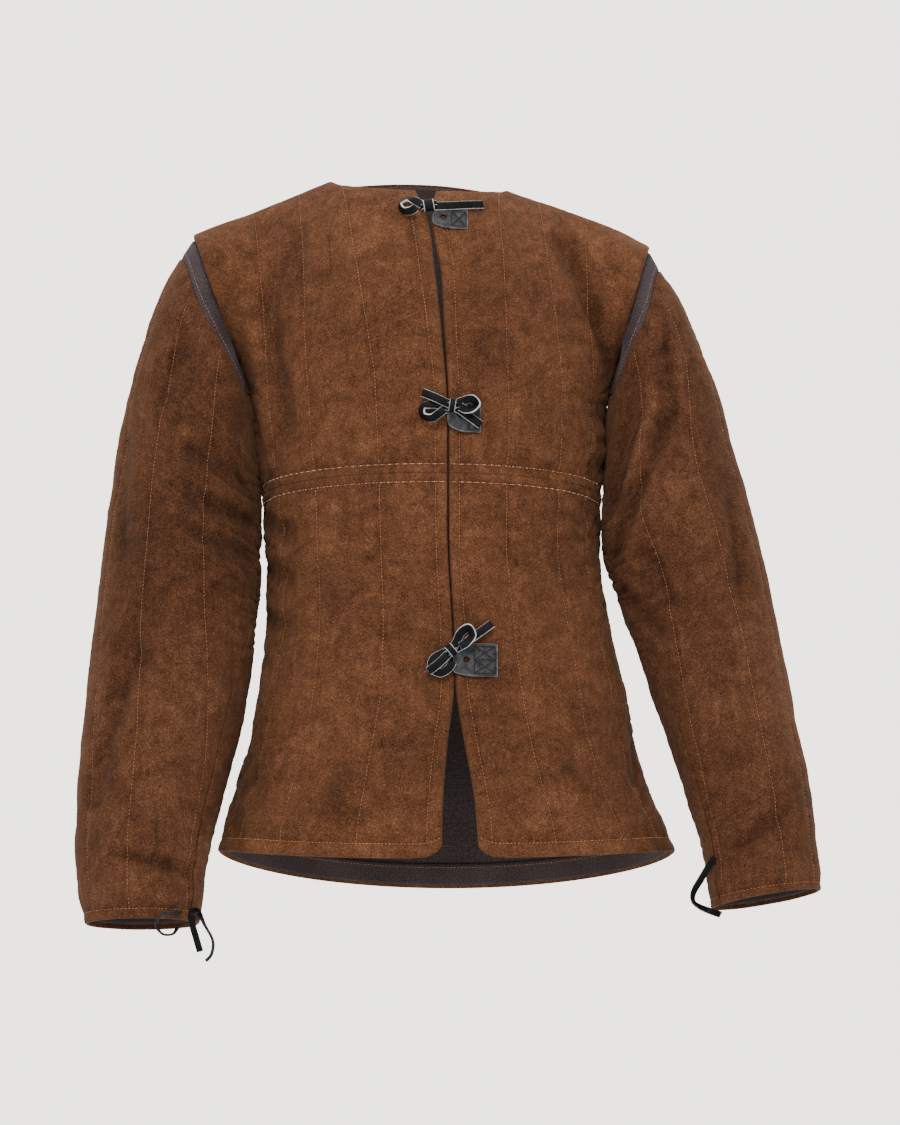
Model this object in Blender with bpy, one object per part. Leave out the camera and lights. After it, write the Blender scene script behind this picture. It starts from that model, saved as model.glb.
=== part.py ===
"""Padded suede arming jacket, hollow and filled out as if worn, sleeves hanging.

Metres, +Z up. The front faces -Y and the wearer's right side is at -X. The origin is the point
between the shoulders where a wearer carries the jacket, at the mean height of the shoulder seams.
Every cloth piece is a closed wall: a plain inner face, and an outer face raised by quilting.
"""

from collections import namedtuple
import math

import bmesh
import bpy
import numpy as np

MM = 0.001

# Thicknesses and gaps
SEAM_GAP = 0.3 * MM        # between pieces that are sewn together
PRESSED = 2.4 * MM         # padded wall under a line of stitching
BODY_PAD = 7.5 * MM        # padded wall between the lines, body
SLEEVE_PAD = 6.5 * MM      # padded wall between the lines, sleeves
LINING = 1.2 * MM
LINING_GAP = 0.9 * MM
FACING_GAP = 0.4 * MM      # between the lining and the facing strip along the hem
BAND = 2.2 * MM            # canvas band round a sleeve head
BAND_SWELL = 0.5 * MM      # how much thicker the band is along its middle
BAND_START = 1.8 * MM      # from the armhole's edge to the band
TAB = 3.0 * MM             # leather tab
TAB_LIFT = 0.4 * MM        # from the front's padding to the tab
THONG_LIFT = 0.5 * MM      # from the tab to the height that the thongs' tables start from
THONG_WIDTH = 8.5 * MM
THONG = 2.0 * MM
LACE_WIDTH = 6.5 * MM
LACE = 1.8 * MM

# Heights of the body's main levels
CHEST_Z = -0.200           # where the armholes start
WAIST_Z = -0.303           # waist seam
HEM_SIDE_Z = -0.667
HEM_DROP = 0.021           # how much lower the hem hangs at the middle, front and back
HEM_CORNER = 0.014         # height of the skirt's round corners at the front slit
CORNER_SHARE = 0.074       # share of a front's width that a corner takes
PANEL_WIDTH = 0.27         # mean width of a front, and of half the back
SHOULDER_TILT = -0.033     # the wearer's left shoulder sits a little lower

# Neck and shoulders, inner face
NECK_MID_X = -0.003
NECK_HALF = 0.092
NECK_SIDE_Z = 0.0225
NECK_FRONT_Y = -0.080
NECK_FRONT_Z = -0.002
NECK_BACK_Y = 0.064
NECK_BACK_Z = 0.047
SHOULDER_HALF = 0.2345
SHOULDER_Z = -0.0395
ARMHOLE_DEPTH = 0.050      # how far the armhole's edge swings to the front and to the back
ARMHOLE_START = 0.62       # share of a front's width where the swing starts
NECK_SHARE = 0.37          # share of a front's width that ends at the neckline
# Degrees of an ellipse from the chest section up to the top edge
NECK_REACH_FRONT = 56
NECK_REACH_BACK = 62
SHOULDER_REACH = 90

# Stitch lines, as shares of a panel's width
FRONT_LINES = (0.0, 0.055, 0.24, 0.50, 0.72, 1.0)
FRONT_FILL = (0.4, 1.0, 1.0, 1.0, 0.9)
BACK_LINES = (0.0, 0.24, 0.50, 0.74, 1.0)
BACK_FILL = (1.0, 1.0, 1.0, 0.9)
OUTER_CHANNELS = 7
UNDER_CHANNELS = 2
WAIST_STITCH = 9 * MM      # rows of stitching beside the waist seam, along the hem and the cuff
HEM_STITCH = 13 * MM
CUFF_STITCH = 10 * MM
FULL_AFTER = 26 * MM       # past a cross seam the padding is full again after this much
# Share of the padding that is left at the shoulder seam and at the sleeve's head, and how far
# down it is full again, in levels of the body and in shares of the sleeve's length
SHOULDER_FILL, SHOULDER_FADE = 0.25, 0.22
HEAD_FILL, HEAD_FADE = 0.20, 0.045


class Table:
    """Rows under named columns, read by the first column on a smooth curve through the rows."""

    def __init__(self, columns, *rows):
        self.columns = columns.split()
        self.rows = np.array(rows, dtype=float)

    def at(self, column, where):
        keys = self.rows[:, 0]
        values = self.rows[:, self.columns.index(column)]
        slopes = np.gradient(values, keys)
        where = np.asarray(where, dtype=float)
        low = np.clip(np.searchsorted(keys, where) - 1, 0, len(keys) - 2)
        step = keys[low + 1] - keys[low]
        t = (where - keys[low]) / step
        start = (1 + 2 * t) * (1 - t) ** 2 * values[low] + t * (1 - t) ** 2 * step * slopes[low]
        end = t * t * (3 - 2 * t) * values[low + 1] + t * t * (t - 1) * step * slopes[low + 1]
        return start + end


# Level sections of the body's inner face: middle, half width, depth in front and behind
TORSO = Table(
    "z mid half front back",
    (-0.720, 0.030, 0.2400, 0.134, 0.134),
    (-0.667, 0.027, 0.2255, 0.128, 0.128),
    (-0.614, 0.022, 0.2065, 0.124, 0.124),
    (-0.573, 0.0215, 0.1930, 0.121, 0.121),
    (-0.512, 0.0220, 0.1830, 0.118, 0.119),
    (-0.450, 0.0180, 0.1720, 0.115, 0.116),
    (-0.368, 0.0120, 0.1640, 0.111, 0.112),
    (-0.303, 0.0120, 0.1665, 0.112, 0.109),
    (-0.250, 0.0115, 0.1705, 0.116, 0.113),
    (-0.200, 0.0115, 0.1740, 0.119, 0.118),
    (-0.150, 0.0115, 0.1770, 0.122, 0.121),
)

# Edges of the front opening
OPENING = Table(
    "z right_edge left_edge",
    (-0.720, 0.0215, 0.0590),
    (-0.674, 0.0223, 0.0570),
    (-0.629, 0.0234, 0.0535),
    (-0.573, 0.0280, 0.0437),
    (-0.524, 0.0338, 0.0358),
    (-0.464, 0.0325, 0.0337),
    (-0.380, 0.0278, 0.0290),
    (-0.300, 0.0273, 0.0285),
    (-0.216, 0.0264, 0.0276),
    (-0.170, 0.0226, 0.0246),
    (-0.101, 0.0155, 0.0210),
    (-0.027, 0.0045, 0.0112),
    (0.010, -0.0100, 0.0180),
)

# Sleeve sections: outer and inner point of each in the front view, middle and half depth
SLEEVES = {
    "right": Table(
        "run out_x out_z in_x in_z mid_y half_y",
        (-0.03, -0.238, -0.032, -0.1815, -0.190, 0.000, 0.056),
        (0.00, -0.248, -0.047, -0.1800, -0.203, 0.000, 0.060),
        (0.06, -0.270, -0.096, -0.1750, -0.244, 0.000, 0.066),
        (0.13, -0.284, -0.139, -0.1710, -0.286, 0.000, 0.070),
        (0.21, -0.295, -0.181, -0.1675, -0.325, -0.001, 0.072),
        (0.30, -0.307, -0.245, -0.1640, -0.368, -0.003, 0.074),
        (0.40, -0.3165, -0.320, -0.1630, -0.412, -0.006, 0.075),
        (0.50, -0.324, -0.395, -0.1665, -0.456, -0.010, 0.075),
        (0.60, -0.331, -0.470, -0.1715, -0.500, -0.015, 0.073),
        (0.70, -0.336, -0.540, -0.1810, -0.552, -0.022, 0.069),
        (0.80, -0.340, -0.609, -0.1950, -0.612, -0.030, 0.064),
        (0.90, -0.339, -0.677, -0.2100, -0.676, -0.038, 0.058),
        (1.00, -0.331, -0.743, -0.2145, -0.742, -0.045, 0.053),
        (1.04, -0.327, -0.769, -0.2155, -0.768, -0.048, 0.052),
    ),
    "left": Table(
        "run out_x out_z in_x in_z mid_y half_y",
        (-0.03, 0.2375, -0.045, 0.2035, -0.190, 0.000, 0.056),
        (0.00, 0.246, -0.060, 0.2025, -0.203, 0.000, 0.060),
        (0.06, 0.268, -0.100, 0.2005, -0.244, 0.000, 0.066),
        (0.13, 0.285, -0.142, 0.1985, -0.286, 0.000, 0.070),
        (0.21, 0.300, -0.184, 0.1960, -0.325, -0.001, 0.072),
        (0.30, 0.316, -0.243, 0.1935, -0.364, -0.003, 0.074),
        (0.40, 0.334, -0.318, 0.1960, -0.404, -0.006, 0.074),
        (0.50, 0.352, -0.402, 0.2070, -0.446, -0.010, 0.072),
        (0.60, 0.366, -0.478, 0.2245, -0.494, -0.015, 0.069),
        (0.70, 0.379, -0.548, 0.2435, -0.550, -0.022, 0.065),
        (0.80, 0.388, -0.610, 0.2630, -0.612, -0.030, 0.061),
        (0.90, 0.394, -0.664, 0.2785, -0.672, -0.038, 0.056),
        (1.00, 0.3975, -0.709, 0.2845, -0.728, -0.045, 0.052),
        (1.04, 0.399, -0.727, 0.2865, -0.750, -0.048, 0.051),
    ),
}
SLEEVE_LENGTH = 0.70       # along the sleeve, from the band to the cuff
SLEEVE_WALL = 5.5 * MM     # the sections are those of the outer face, this far outside the inner
SLEEVE_ARC = 0.072         # mean radius, which turns an angle round the sleeve into a distance
OUTER_SPAN = 276           # mean degrees of the sleeve that its outer and its under panel take
UNDER_SPAN = 70
TORSO_ARC = 0.150

# Seams of the under sleeve, in degrees from the outer side towards the front
SEAMS = Table(
    "run front back slit",
    (-0.03, 163, 228, 0.0),
    (0.45, 163, 230, 0.0),
    (0.62, 148, 230, 0.0),
    (0.80, 146, 229, 1.2 * MM),
    (1.00, 152, 228, 2.6 * MM),
    (1.04, 152, 228, 2.8 * MM),
)

# Main folds. Body: degrees from the wearer's left side over the front, and height
Fold = namedtuple("Fold", "turn_a along_a turn_b along_b width depth")
BODY_FOLDS = (
    Fold(136, -0.045, 138, -0.115, 0.013, -0.0030),
    Fold(151, -0.105, 146, -0.245, 0.013, -0.0040),
    Fold(163, -0.120, 158, -0.230, 0.012, 0.0030),
    Fold(176, -0.330, 150, -0.350, 0.011, -0.0035),
    Fold(178, -0.375, 150, -0.400, 0.011, -0.0035),
    Fold(174, -0.430, 152, -0.450, 0.012, -0.0030),
    Fold(177, -0.555, 158, -0.600, 0.013, -0.0035),
    Fold(172, -0.615, 158, -0.645, 0.012, -0.0030),
    Fold(36, -0.055, 14, -0.165, 0.013, -0.0045),
    Fold(24, -0.050, 8, -0.130, 0.012, 0.0030),
    Fold(3, -0.230, 25, -0.222, 0.011, -0.0030),
    Fold(3, -0.272, 23, -0.280, 0.011, -0.0035),
    Fold(5, -0.335, 27, -0.325, 0.012, -0.0030),
    Fold(8, -0.560, 22, -0.600, 0.013, -0.0030),
    Fold(209, -0.100, 216, -0.240, 0.014, -0.0040),
    Fold(330, -0.080, 338, -0.200, 0.014, -0.0040),
    Fold(186, -0.345, 212, -0.362, 0.012, -0.0035),
    Fold(188, -0.400, 214, -0.410, 0.012, -0.0030),
    Fold(352, -0.250, 327, -0.268, 0.012, -0.0030),
    Fold(350, -0.340, 326, -0.350, 0.012, -0.0035),
    Fold(252, -0.335, 288, -0.340, 0.014, -0.0025),
    Fold(236, -0.430, 232, -0.660, 0.026, 0.0045),
    Fold(272, -0.450, 270, -0.660, 0.028, -0.0040),
    Fold(306, -0.430, 310, -0.660, 0.026, 0.0045),
)
# Sleeves: degrees from the outer side over the front, and share of the length
SLEEVE_FOLDS = {
    "right": (
        Fold(76, 0.06, 62, 0.20, 0.012, -0.0040),
        Fold(140, 0.19, 94, 0.24, 0.011, -0.0035),
        Fold(152, 0.26, 100, 0.31, 0.011, -0.0040),
        Fold(146, 0.34, 106, 0.37, 0.011, -0.0035),
        Fold(67, 0.60, 44, 0.82, 0.013, -0.0045),
        Fold(84, 0.91, 142, 0.93, 0.010, -0.0030),
        Fold(30, 0.30, 44, 0.44, 0.014, -0.0030),
        Fold(-60, 0.12, -95, 0.25, 0.013, -0.0040),
        Fold(-120, 0.30, -75, 0.38, 0.013, -0.0035),
        Fold(-110, 0.52, -60, 0.60, 0.014, -0.0035),
        Fold(-40, 0.78, -90, 0.86, 0.013, -0.0035),
        Fold(176, 0.40, 196, 0.55, 0.013, -0.0030),
    ),
    "left": (
        Fold(74, 0.08, 86, 0.20, 0.012, -0.0045),
        Fold(86, 0.20, 150, 0.33, 0.012, -0.0050),
        Fold(100, 0.15, 128, 0.22, 0.012, 0.0030),
        Fold(128, 0.38, 120, 0.48, 0.012, -0.0035),
        Fold(160, 0.42, 132, 0.52, 0.012, -0.0030),
        Fold(44, 0.36, 58, 0.50, 0.014, -0.0030),
        Fold(60, 0.84, 120, 0.90, 0.011, -0.0030),
        Fold(-66, 0.10, -90, 0.24, 0.013, -0.0040),
        Fold(-125, 0.32, -80, 0.40, 0.013, -0.0035),
        Fold(-100, 0.55, -55, 0.62, 0.014, -0.0035),
        Fold(-45, 0.76, -95, 0.85, 0.013, -0.0035),
        Fold(180, 0.50, 198, 0.62, 0.013, -0.0030),
    ),
}

# Leather tabs on the wearer's left front: tip, root, heights, hole, and the knot beside it
Tab = namedtuple("Tab", "name tip_x root_x mid_z root_half tip_half hole_x hole_z knot_x knot_z")
TABS = (
    Tab("top", 0.0125, 0.0480, -0.0365, 0.0115, 0.0040, 0.0235, -0.0355, 0.0085, -0.0240),
    Tab("middle", 0.0275, 0.0605, -0.2480, 0.0155, 0.0050, 0.0400, -0.2460, 0.0325, -0.2390),
    Tab("bottom", 0.0330, 0.0765, -0.4930, 0.0165, 0.0110, 0.0460, -0.4930, 0.0310, -0.4850),
)
TAB_HOLE = 3.2 * MM        # half the side of the hole

# Routes of the thongs, from the knot's flank round the loop and under the knot to the free end.
# Millimetres from the knot: across, up, lift off the tab, and lean of the strap in degrees
Step = namedtuple("Step", "across up lift lean")
THONGS = {
    "tie_top_thong": ("top", (
        Step(-13.0, -4.0, 7.4, 0), Step(-18, -7.5, 6.8, 25), Step(-25, -7, 6.0, 60),
        Step(-28.5, -0.5, 5.6, 70), Step(-23, 6, 5.2, 55), Step(-15, 5.5, 3.9, 15),
        Step(-8, 1.8, 3.0, 0), Step(0, 0, 3.0, 0), Step(9, 0, 3.0, 0), Step(20, 1, 3.2, 0),
        Step(37, 3.5, 3.6, 0), Step(55, 6.5, 3.8, 6))),
    "tie_middle_thong_a": ("middle", (
        Step(-8.2, -4.6, 7.6, 0), Step(-13.5, -8.8, 7.6, 10), Step(-21, -13, 6.8, 40),
        Step(-29, -10, 5.4, 60), Step(-29.5, -1.5, 3.6, 35), Step(-20, 1.6, 1.7, 4),
        Step(-9, 0.4, 1.4, 0), Step(0, -0.5, 1.4, 0), Step(7, -3, 1.4, 0), Step(17, -10, 1.6, 0),
        Step(28, -18, 2.6, 6))),
    "tie_middle_thong_b": ("middle", (
        Step(7.4, -1.6, 7.8, 0), Step(13, -4.2, 7.9, 10), Step(20, -3.5, 7.4, 40),
        Step(25, 1.8, 6.8, 55), Step(19, 7.2, 5.6, 30), Step(9, 4.4, 4.2, 5), Step(0, 0.8, 4.0, 0),
        Step(-7, 3.2, 4.1, 0), Step(-17, 7.8, 4.7, 0), Step(-30, 13, 5.2, 6))),
    "tie_bottom_thong_a": ("bottom", (
        Step(1.5, -11.0, 1.6, 0), Step(-2.5, -17.5, 1.8, 4), Step(-10.5, -22, 2.0, 6),
        Step(-18.5, -17, 2.0, 6), Step(-17, -8, 1.7, 3), Step(-8, -2.4, 1.4, 0),
        Step(0, 0, 1.4, 0), Step(9, 5, 1.4, 0), Step(24, 16, 2.0, 0), Step(40, 28, 3.2, 8))),
    "tie_bottom_thong_b": ("bottom", (
        Step(9.0, 3.4, 8.0, 0), Step(15, 7, 8.4, 15), Step(21, 14.5, 8.4, 36),
        Step(17, 22.5, 7.4, 40), Step(9.5, 17.5, 5.6, 15), Step(5, 8, 4.3, 0), Step(0, 0, 4.2, 0),
        Step(-5.5, -6.5, 4.6, 0), Step(-12, -13, 5.2, 0), Step(-22, -21, 4.8, 6))),
}
# Knots: half width, half height, and turn in degrees; each sits over the strands below it
Knot = namedtuple("Knot", "tab half_x half_z turn low high")
KNOTS = (
    Knot("top", 8.6, 6.2, 10, 4.6, 9.8),
    Knot("middle", 5.0, 6.6, -8, 5.8, 10.6),
    Knot("bottom", 5.6, 6.4, 40, 6.1, 10.9),
)
# Cuff laces: millimetres from the seam's lower end at the cuff: across, up, lift off the cuff
LACES = {
    "cuff_lace_right_a": ("right", (
        Step(-5, 6, 2.9, 55), Step(-14, 5, 3.6, 75), Step(-24, 1, 4.2, 80), Step(-27.5, -8, 4.4, 80),
        Step(-21, -16, 4.2, 80), Step(-12, -15.5, 3.8, 75), Step(-7, -8.5, 3.4, 60))),
    "cuff_lace_right_b": ("right", (
        Step(13.0, -30, 5.6, 0), Step(9.0, -17, 5.0, 0), Step(5.5, -4, 3.0, 0), Step(5.0, 7, 1.6, 8),
        Step(10.0, 9.5, 1.6, 45), Step(16.5, -3, 2.0, 75), Step(25, -19, 2.2, 80),
        Step(24, -32, 2.2, 80), Step(18.5, -39, 2.4, 80))),
    "cuff_lace_left": ("left", (
        Step(-7, 46, 4.0, 0), Step(-13, 37, 4.8, 0), Step(-21, 24, 5.6, 10), Step(-28, 12, 6.0, 35),
        Step(-28.5, 3, 6.0, 55), Step(-22, -2.5, 5.4, 40), Step(-12, -6.5, 4.4, 15),
        Step(-3, -11, 3.8, 0))),
}

# Colours and finish, by material: red, green, blue, roughness
FINISHES = {
    "suede": (0.120, 0.055, 0.028, 0.92),
    "canvas": (0.035, 0.028, 0.024, 0.85),
    "lining": (0.030, 0.020, 0.015, 0.90),
    "leather": (0.022, 0.021, 0.024, 0.55),
}


def clear_scene():
    for thing in list(bpy.data.objects):
        bpy.data.objects.remove(thing, do_unlink=True)


def smooth_step(t):
    t = np.clip(t, 0.0, 1.0)
    return t * t * (3 - 2 * t)


def fold_depth(folds, turn, along, arc, length):
    """Sum of soft troughs and ridges, each a rounded line on the unrolled cloth."""
    across = np.radians(turn) * arc
    down = along * length
    depth = np.zeros(np.shape(across))
    for fold in folds:
        start = np.array((math.radians(fold.turn_a) * arc, fold.along_a * length))
        end = np.array((math.radians(fold.turn_b) * arc, fold.along_b * length))
        line = end - start
        round_by = np.mod(across - start[0] + math.pi * arc, 2 * math.pi * arc) - math.pi * arc
        share = (round_by * line[0] + (down - start[1]) * line[1]) / line.dot(line)
        share = np.clip(share, 0.0, 1.0)
        away = np.hypot(round_by - share * line[0], down - start[1] - share * line[1])
        depth += fold.depth * np.exp(-(away / fold.width) ** 2)
    return depth


def quilting(share, lines, fill):
    """0 on each stitch line and the channel's fill in its middle, a flat-topped curve."""
    lines = np.array(lines)
    channel = np.clip(np.searchsorted(lines, share, side="right") - 1, 0, len(lines) - 2)
    t = (share - lines[channel]) / (lines[channel + 1] - lines[channel])
    return (1 - np.abs(2 * np.clip(t, 0, 1) - 1) ** 2.4) * np.array(fill)[channel]


def past_seam(distance, stitch):
    """A low welt between a cross seam and its stitching, then padding that rises to full."""
    welt = 0.4 * np.sin(math.pi * np.clip(distance / stitch, 0, 1))
    return np.where(distance < stitch, welt, smooth_step((distance - stitch) / FULL_AFTER))


def torso_ring(angle, z):
    """A level section: two half ellipses, deeper or flatter in front than behind."""
    sine = np.sin(angle)
    depth = np.where(sine > 0, TORSO.at("front", z), TORSO.at("back", z))
    x = TORSO.at("mid", z) + TORSO.at("half", z) * np.cos(angle)
    return np.stack((x, -depth * sine, z + 0 * angle), -1)


def hem_z(angle):
    return HEM_SIDE_Z - HEM_DROP * np.abs(np.sin(angle)) ** 1.6


def over_shoulder(low, top, rise, reach):
    """From the chest section up and over to the neck or shoulder edge, along part of an ellipse."""
    turn = rise * reach
    up = np.sin(turn) / np.sin(reach)
    back = (1 - np.cos(turn)) / (1 - np.cos(reach))
    x = low[..., 0] + (top[..., 0] - low[..., 0]) * up
    y = low[..., 1] + (top[..., 1] - low[..., 1]) * back
    z = low[..., 2] + (top[..., 2] - low[..., 2]) * up
    return np.stack((x, y, z), -1)


def top_edge(neck_turn, share, side, neck_y, neck_z):
    """Neckline up to NECK_SHARE of the width, then the straight shoulder seam."""
    round_neck = np.clip(np.sin(neck_turn), 0, 1)
    neck = np.stack((
        NECK_MID_X + NECK_HALF * np.cos(neck_turn),
        neck_y * round_neck,
        NECK_SIDE_Z + (neck_z - NECK_SIDE_Z) * round_neck ** 1.4,
    ), -1)
    along = np.clip((share - NECK_SHARE) / (1 - NECK_SHARE), 0, None)[..., None]
    point = np.array((side * SHOULDER_HALF, 0.0, SHOULDER_Z))
    corner = np.array((NECK_MID_X + side * NECK_HALF, 0.0, NECK_SIDE_Z))
    edge = np.where(share[..., None] < NECK_SHARE, neck, corner + (point - corner) * along)
    edge[..., 2] += SHOULDER_TILT * edge[..., 0]
    return edge


def armhole_swing(share, rise):
    near = smooth_step((share - ARMHOLE_START) / (1 - ARMHOLE_START))
    return ARMHOLE_DEPTH * near * np.sin(math.pi * np.clip(rise, 0, 1)) ** 1.3


def front_plain(side):
    """Inner face of one front. Share 0 is the opening, 1 the side; level -1 is the hem, 0 the
    waist seam, 1 the chest section and 2 the shoulder seam and neckline."""
    column = "left_edge" if side > 0 else "right_edge"
    far = 0.0 if side > 0 else math.pi

    def turn(share, z):
        edge = (OPENING.at(column, z) - TORSO.at("mid", z)) / TORSO.at("half", z)
        edge = np.arccos(edge)
        return edge + (far - edge) * share

    def point(share, level):
        down = np.clip(-level, 0, None)
        plain_turn = turn(share, WAIST_Z + 0 * share)
        drop = (hem_z(plain_turn) - WAIST_Z) * down
        inset = np.clip(1 - share / CORNER_SHARE, 0, 1)
        corner = HEM_CORNER * (1 - np.sqrt(1 - inset ** 2)) * np.clip(down, 0, 1) ** 8
        rise = np.clip(level, 0, 1)
        z = WAIST_Z + drop + corner + (CHEST_Z - WAIST_Z) * rise
        low = torso_ring(turn(share, z), z)
        neck_start = np.arccos((OPENING.at(column, NECK_FRONT_Z) - NECK_MID_X) / NECK_HALF)
        neck_turn = neck_start + (far - neck_start) * np.clip(share / NECK_SHARE, None, 1)
        top = top_edge(neck_turn, share, side, NECK_FRONT_Y, NECK_FRONT_Z)
        shoulder = smooth_step(share / NECK_SHARE)
        reach = np.radians(NECK_REACH_FRONT + (SHOULDER_REACH - NECK_REACH_FRONT) * shoulder)
        high = over_shoulder(low, top, level - 1, reach)
        straight = over_shoulder(
            torso_ring(turn(0 * share, z), z), top_edge(neck_start + 0 * share, 0 * share, side,
            NECK_FRONT_Y, NECK_FRONT_Z), level - 1, np.radians(NECK_REACH_FRONT) + 0 * share)
        pull = OPENING.at(column, straight[..., 2]) - straight[..., 0]
        high[..., 0] += pull * np.clip(1 - share, 0, None) ** 4
        high[..., 1] -= armhole_swing(share, level - 1)
        return np.where((level > 1)[..., None], high, low)

    return point


def back_plain(share, level):
    """Inner face of the back. Share 0 is the wearer's left side and 1 the right side."""
    turn = -math.pi * share
    down = np.clip(-level, 0, None)
    z = WAIST_Z + (hem_z(turn) - WAIST_Z) * down + (CHEST_Z - WAIST_Z) * np.clip(level, 0, 1)
    low = torso_ring(turn, z)
    side = np.where(share < 0.5, 1.0, -1.0)
    half_share = np.abs(share - 0.5) * 2
    neck_turn = math.pi / 2 - side * (math.pi / 2) * np.clip(half_share / NECK_SHARE, 0, 1)
    left = top_edge(neck_turn, half_share, 1.0, NECK_BACK_Y, NECK_BACK_Z)
    right = top_edge(neck_turn, half_share, -1.0, NECK_BACK_Y, NECK_BACK_Z)
    top = np.where((side > 0)[..., None], left, right)
    shoulder = smooth_step(half_share / NECK_SHARE)
    reach = np.radians(NECK_REACH_BACK + (SHOULDER_REACH - NECK_REACH_BACK) * shoulder)
    high = over_shoulder(low, top, level - 1, reach)
    high[..., 1] += armhole_swing(half_share, level - 1)
    return np.where((level > 1)[..., None], high, low)


def body_pad(share, level, lines, fill, turn):
    """Thickness of the quilted body wall."""
    pad = quilting(share, lines, fill)
    waist = np.where(level > 0, level * (CHEST_Z - WAIST_Z), level * (hem_z(turn) - WAIST_Z))
    pad = pad * past_seam(np.abs(waist), WAIST_STITCH)
    hem = (1 + level) * (WAIST_Z - hem_z(turn))
    pad = pad * np.where(level < 0, past_seam(np.abs(hem), HEM_STITCH), 1.0)
    pad = pad * (SHOULDER_FILL + (1 - SHOULDER_FILL) * smooth_step((2 - level) / SHOULDER_FADE))
    return PRESSED + (BODY_PAD - PRESSED) * pad


def sleeve_plain(side, arc_of):
    """Inner face of a sleeve panel whose share runs over the angles that arc_of gives."""
    table = SLEEVES[side]

    def point(share, run):
        turn = arc_of(share, run)
        outer = np.stack((table.at("out_x", run), table.at("out_z", run)), -1)
        inner = np.stack((table.at("in_x", run), table.at("in_z", run)), -1)
        middle = (outer + inner) / 2
        reach = (outer - inner) / 2
        length = np.linalg.norm(reach, axis=-1, keepdims=True)
        reach = reach * (length - SLEEVE_WALL) / length
        x_z = middle + reach * np.cos(turn)[..., None]
        y = table.at("mid_y", run) - table.at("half_y", run) * np.sin(turn)
        return np.stack((x_z[..., 0], y, x_z[..., 1]), -1)

    return point


def slit_angle(run):
    """Half of the open slit near the cuff, in degrees round the sleeve."""
    return np.degrees(np.clip(SEAMS.at("slit", run), 0, None) / SLEEVE_ARC / 2)


def outer_arc(share, run):
    """Angles of the outer sleeve, from its back seam round the outside to its front seam."""
    back = SEAMS.at("back", run) - 360
    slit = slit_angle(run)
    return np.radians(back + (SEAMS.at("front", run) - slit - back) * share)


def under_arc(share, run):
    front = SEAMS.at("front", run) + slit_angle(run)
    return np.radians(front + (SEAMS.at("back", run) - front) * share)


def sleeve_pad(share, run, channels):
    lines = np.linspace(0, 1, channels + 1)
    pad = quilting(share, lines, (1.0,) * channels)
    pad = pad * past_seam(np.abs(1 - run) * SLEEVE_LENGTH, CUFF_STITCH)
    pad = pad * (HEAD_FILL + (1 - HEAD_FILL) * smooth_step(run / HEAD_FADE))
    return PRESSED + (SLEEVE_PAD - PRESSED) * pad


def surface(point, u, v, inside):
    """Points and outward unit normals of point(u, v) on the grid of u by v."""
    u, v = np.meshgrid(u, v, indexing="ij")
    step = 2e-4
    across = point(u + step, v) - point(u - step, v)
    along = point(u, v + step) - point(u, v - step)
    normal = np.cross(across, along)
    normal /= np.linalg.norm(normal, axis=-1, keepdims=True)
    points = point(u, v)
    if np.sum(normal * (points - inside(points, v))) < 0:
        normal = -normal
    return points, normal, u, v


def torso_inside(points, level):
    return np.stack((0 * points[..., 0], 0 * points[..., 1], points[..., 2] - 0.03), -1)


def sleeve_inside(side):
    table = SLEEVES[side]

    def inside(points, run):
        middle = (table.at("out_x", run) + table.at("in_x", run)) / 2
        return np.stack((middle, table.at("mid_y", run), points[..., 2]), -1)

    return inside


def strip(first, second, first_at, second_at):
    """Triangles between two rows of points that run side by side."""
    faces = []
    i = j = 0
    while i < len(first) - 1 or j < len(second) - 1:
        first_ends = i == len(first) - 1
        second_ends = j == len(second) - 1
        if second_ends or (not first_ends and first_at[i + 1] <= second_at[j + 1]):
            faces.append((first[i], first[i + 1], second[j]))
            i += 1
        else:
            faces.append((first[i], second[j + 1], second[j]))
            j += 1
    return faces


def grid_faces(numbers, skip=()):
    """Two triangles for each cell of a grid of vertex numbers, apart from the cells in skip."""
    faces = []
    for i in range(numbers.shape[0] - 1):
        for j in range(numbers.shape[1] - 1):
            if (i, j) in skip:
                continue
            a, b = numbers[i, j], numbers[i + 1, j]
            c, d = numbers[i + 1, j + 1], numbers[i, j + 1]
            faces += [(a, b, c), (a, c, d)]
    return faces


def add_piece(name, finish, points, faces):
    """One closed mesh object with its faces turned outwards and its own material."""
    mesh = bpy.data.meshes.new(name)
    mesh.from_pydata([tuple(point) for point in points], [], [tuple(map(int, f)) for f in faces])
    bm = bmesh.new()
    bm.from_mesh(mesh)
    bmesh.ops.recalc_face_normals(bm, faces=bm.faces)
    bm.to_mesh(mesh)
    bm.free()
    mesh.shade_smooth()
    material = bpy.data.materials.new(name)
    material.use_nodes = True
    shader = material.node_tree.nodes["Principled BSDF"]
    red, green, blue, roughness = FINISHES[finish]
    shader.inputs["Base Color"].default_value = (red, green, blue, 1.0)
    shader.inputs["Roughness"].default_value = roughness
    shader.inputs["Metallic"].default_value = 0.0
    mesh.materials.append(material)
    thing = bpy.data.objects.new(name, mesh)
    bpy.context.collection.objects.link(thing)
    return thing


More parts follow.
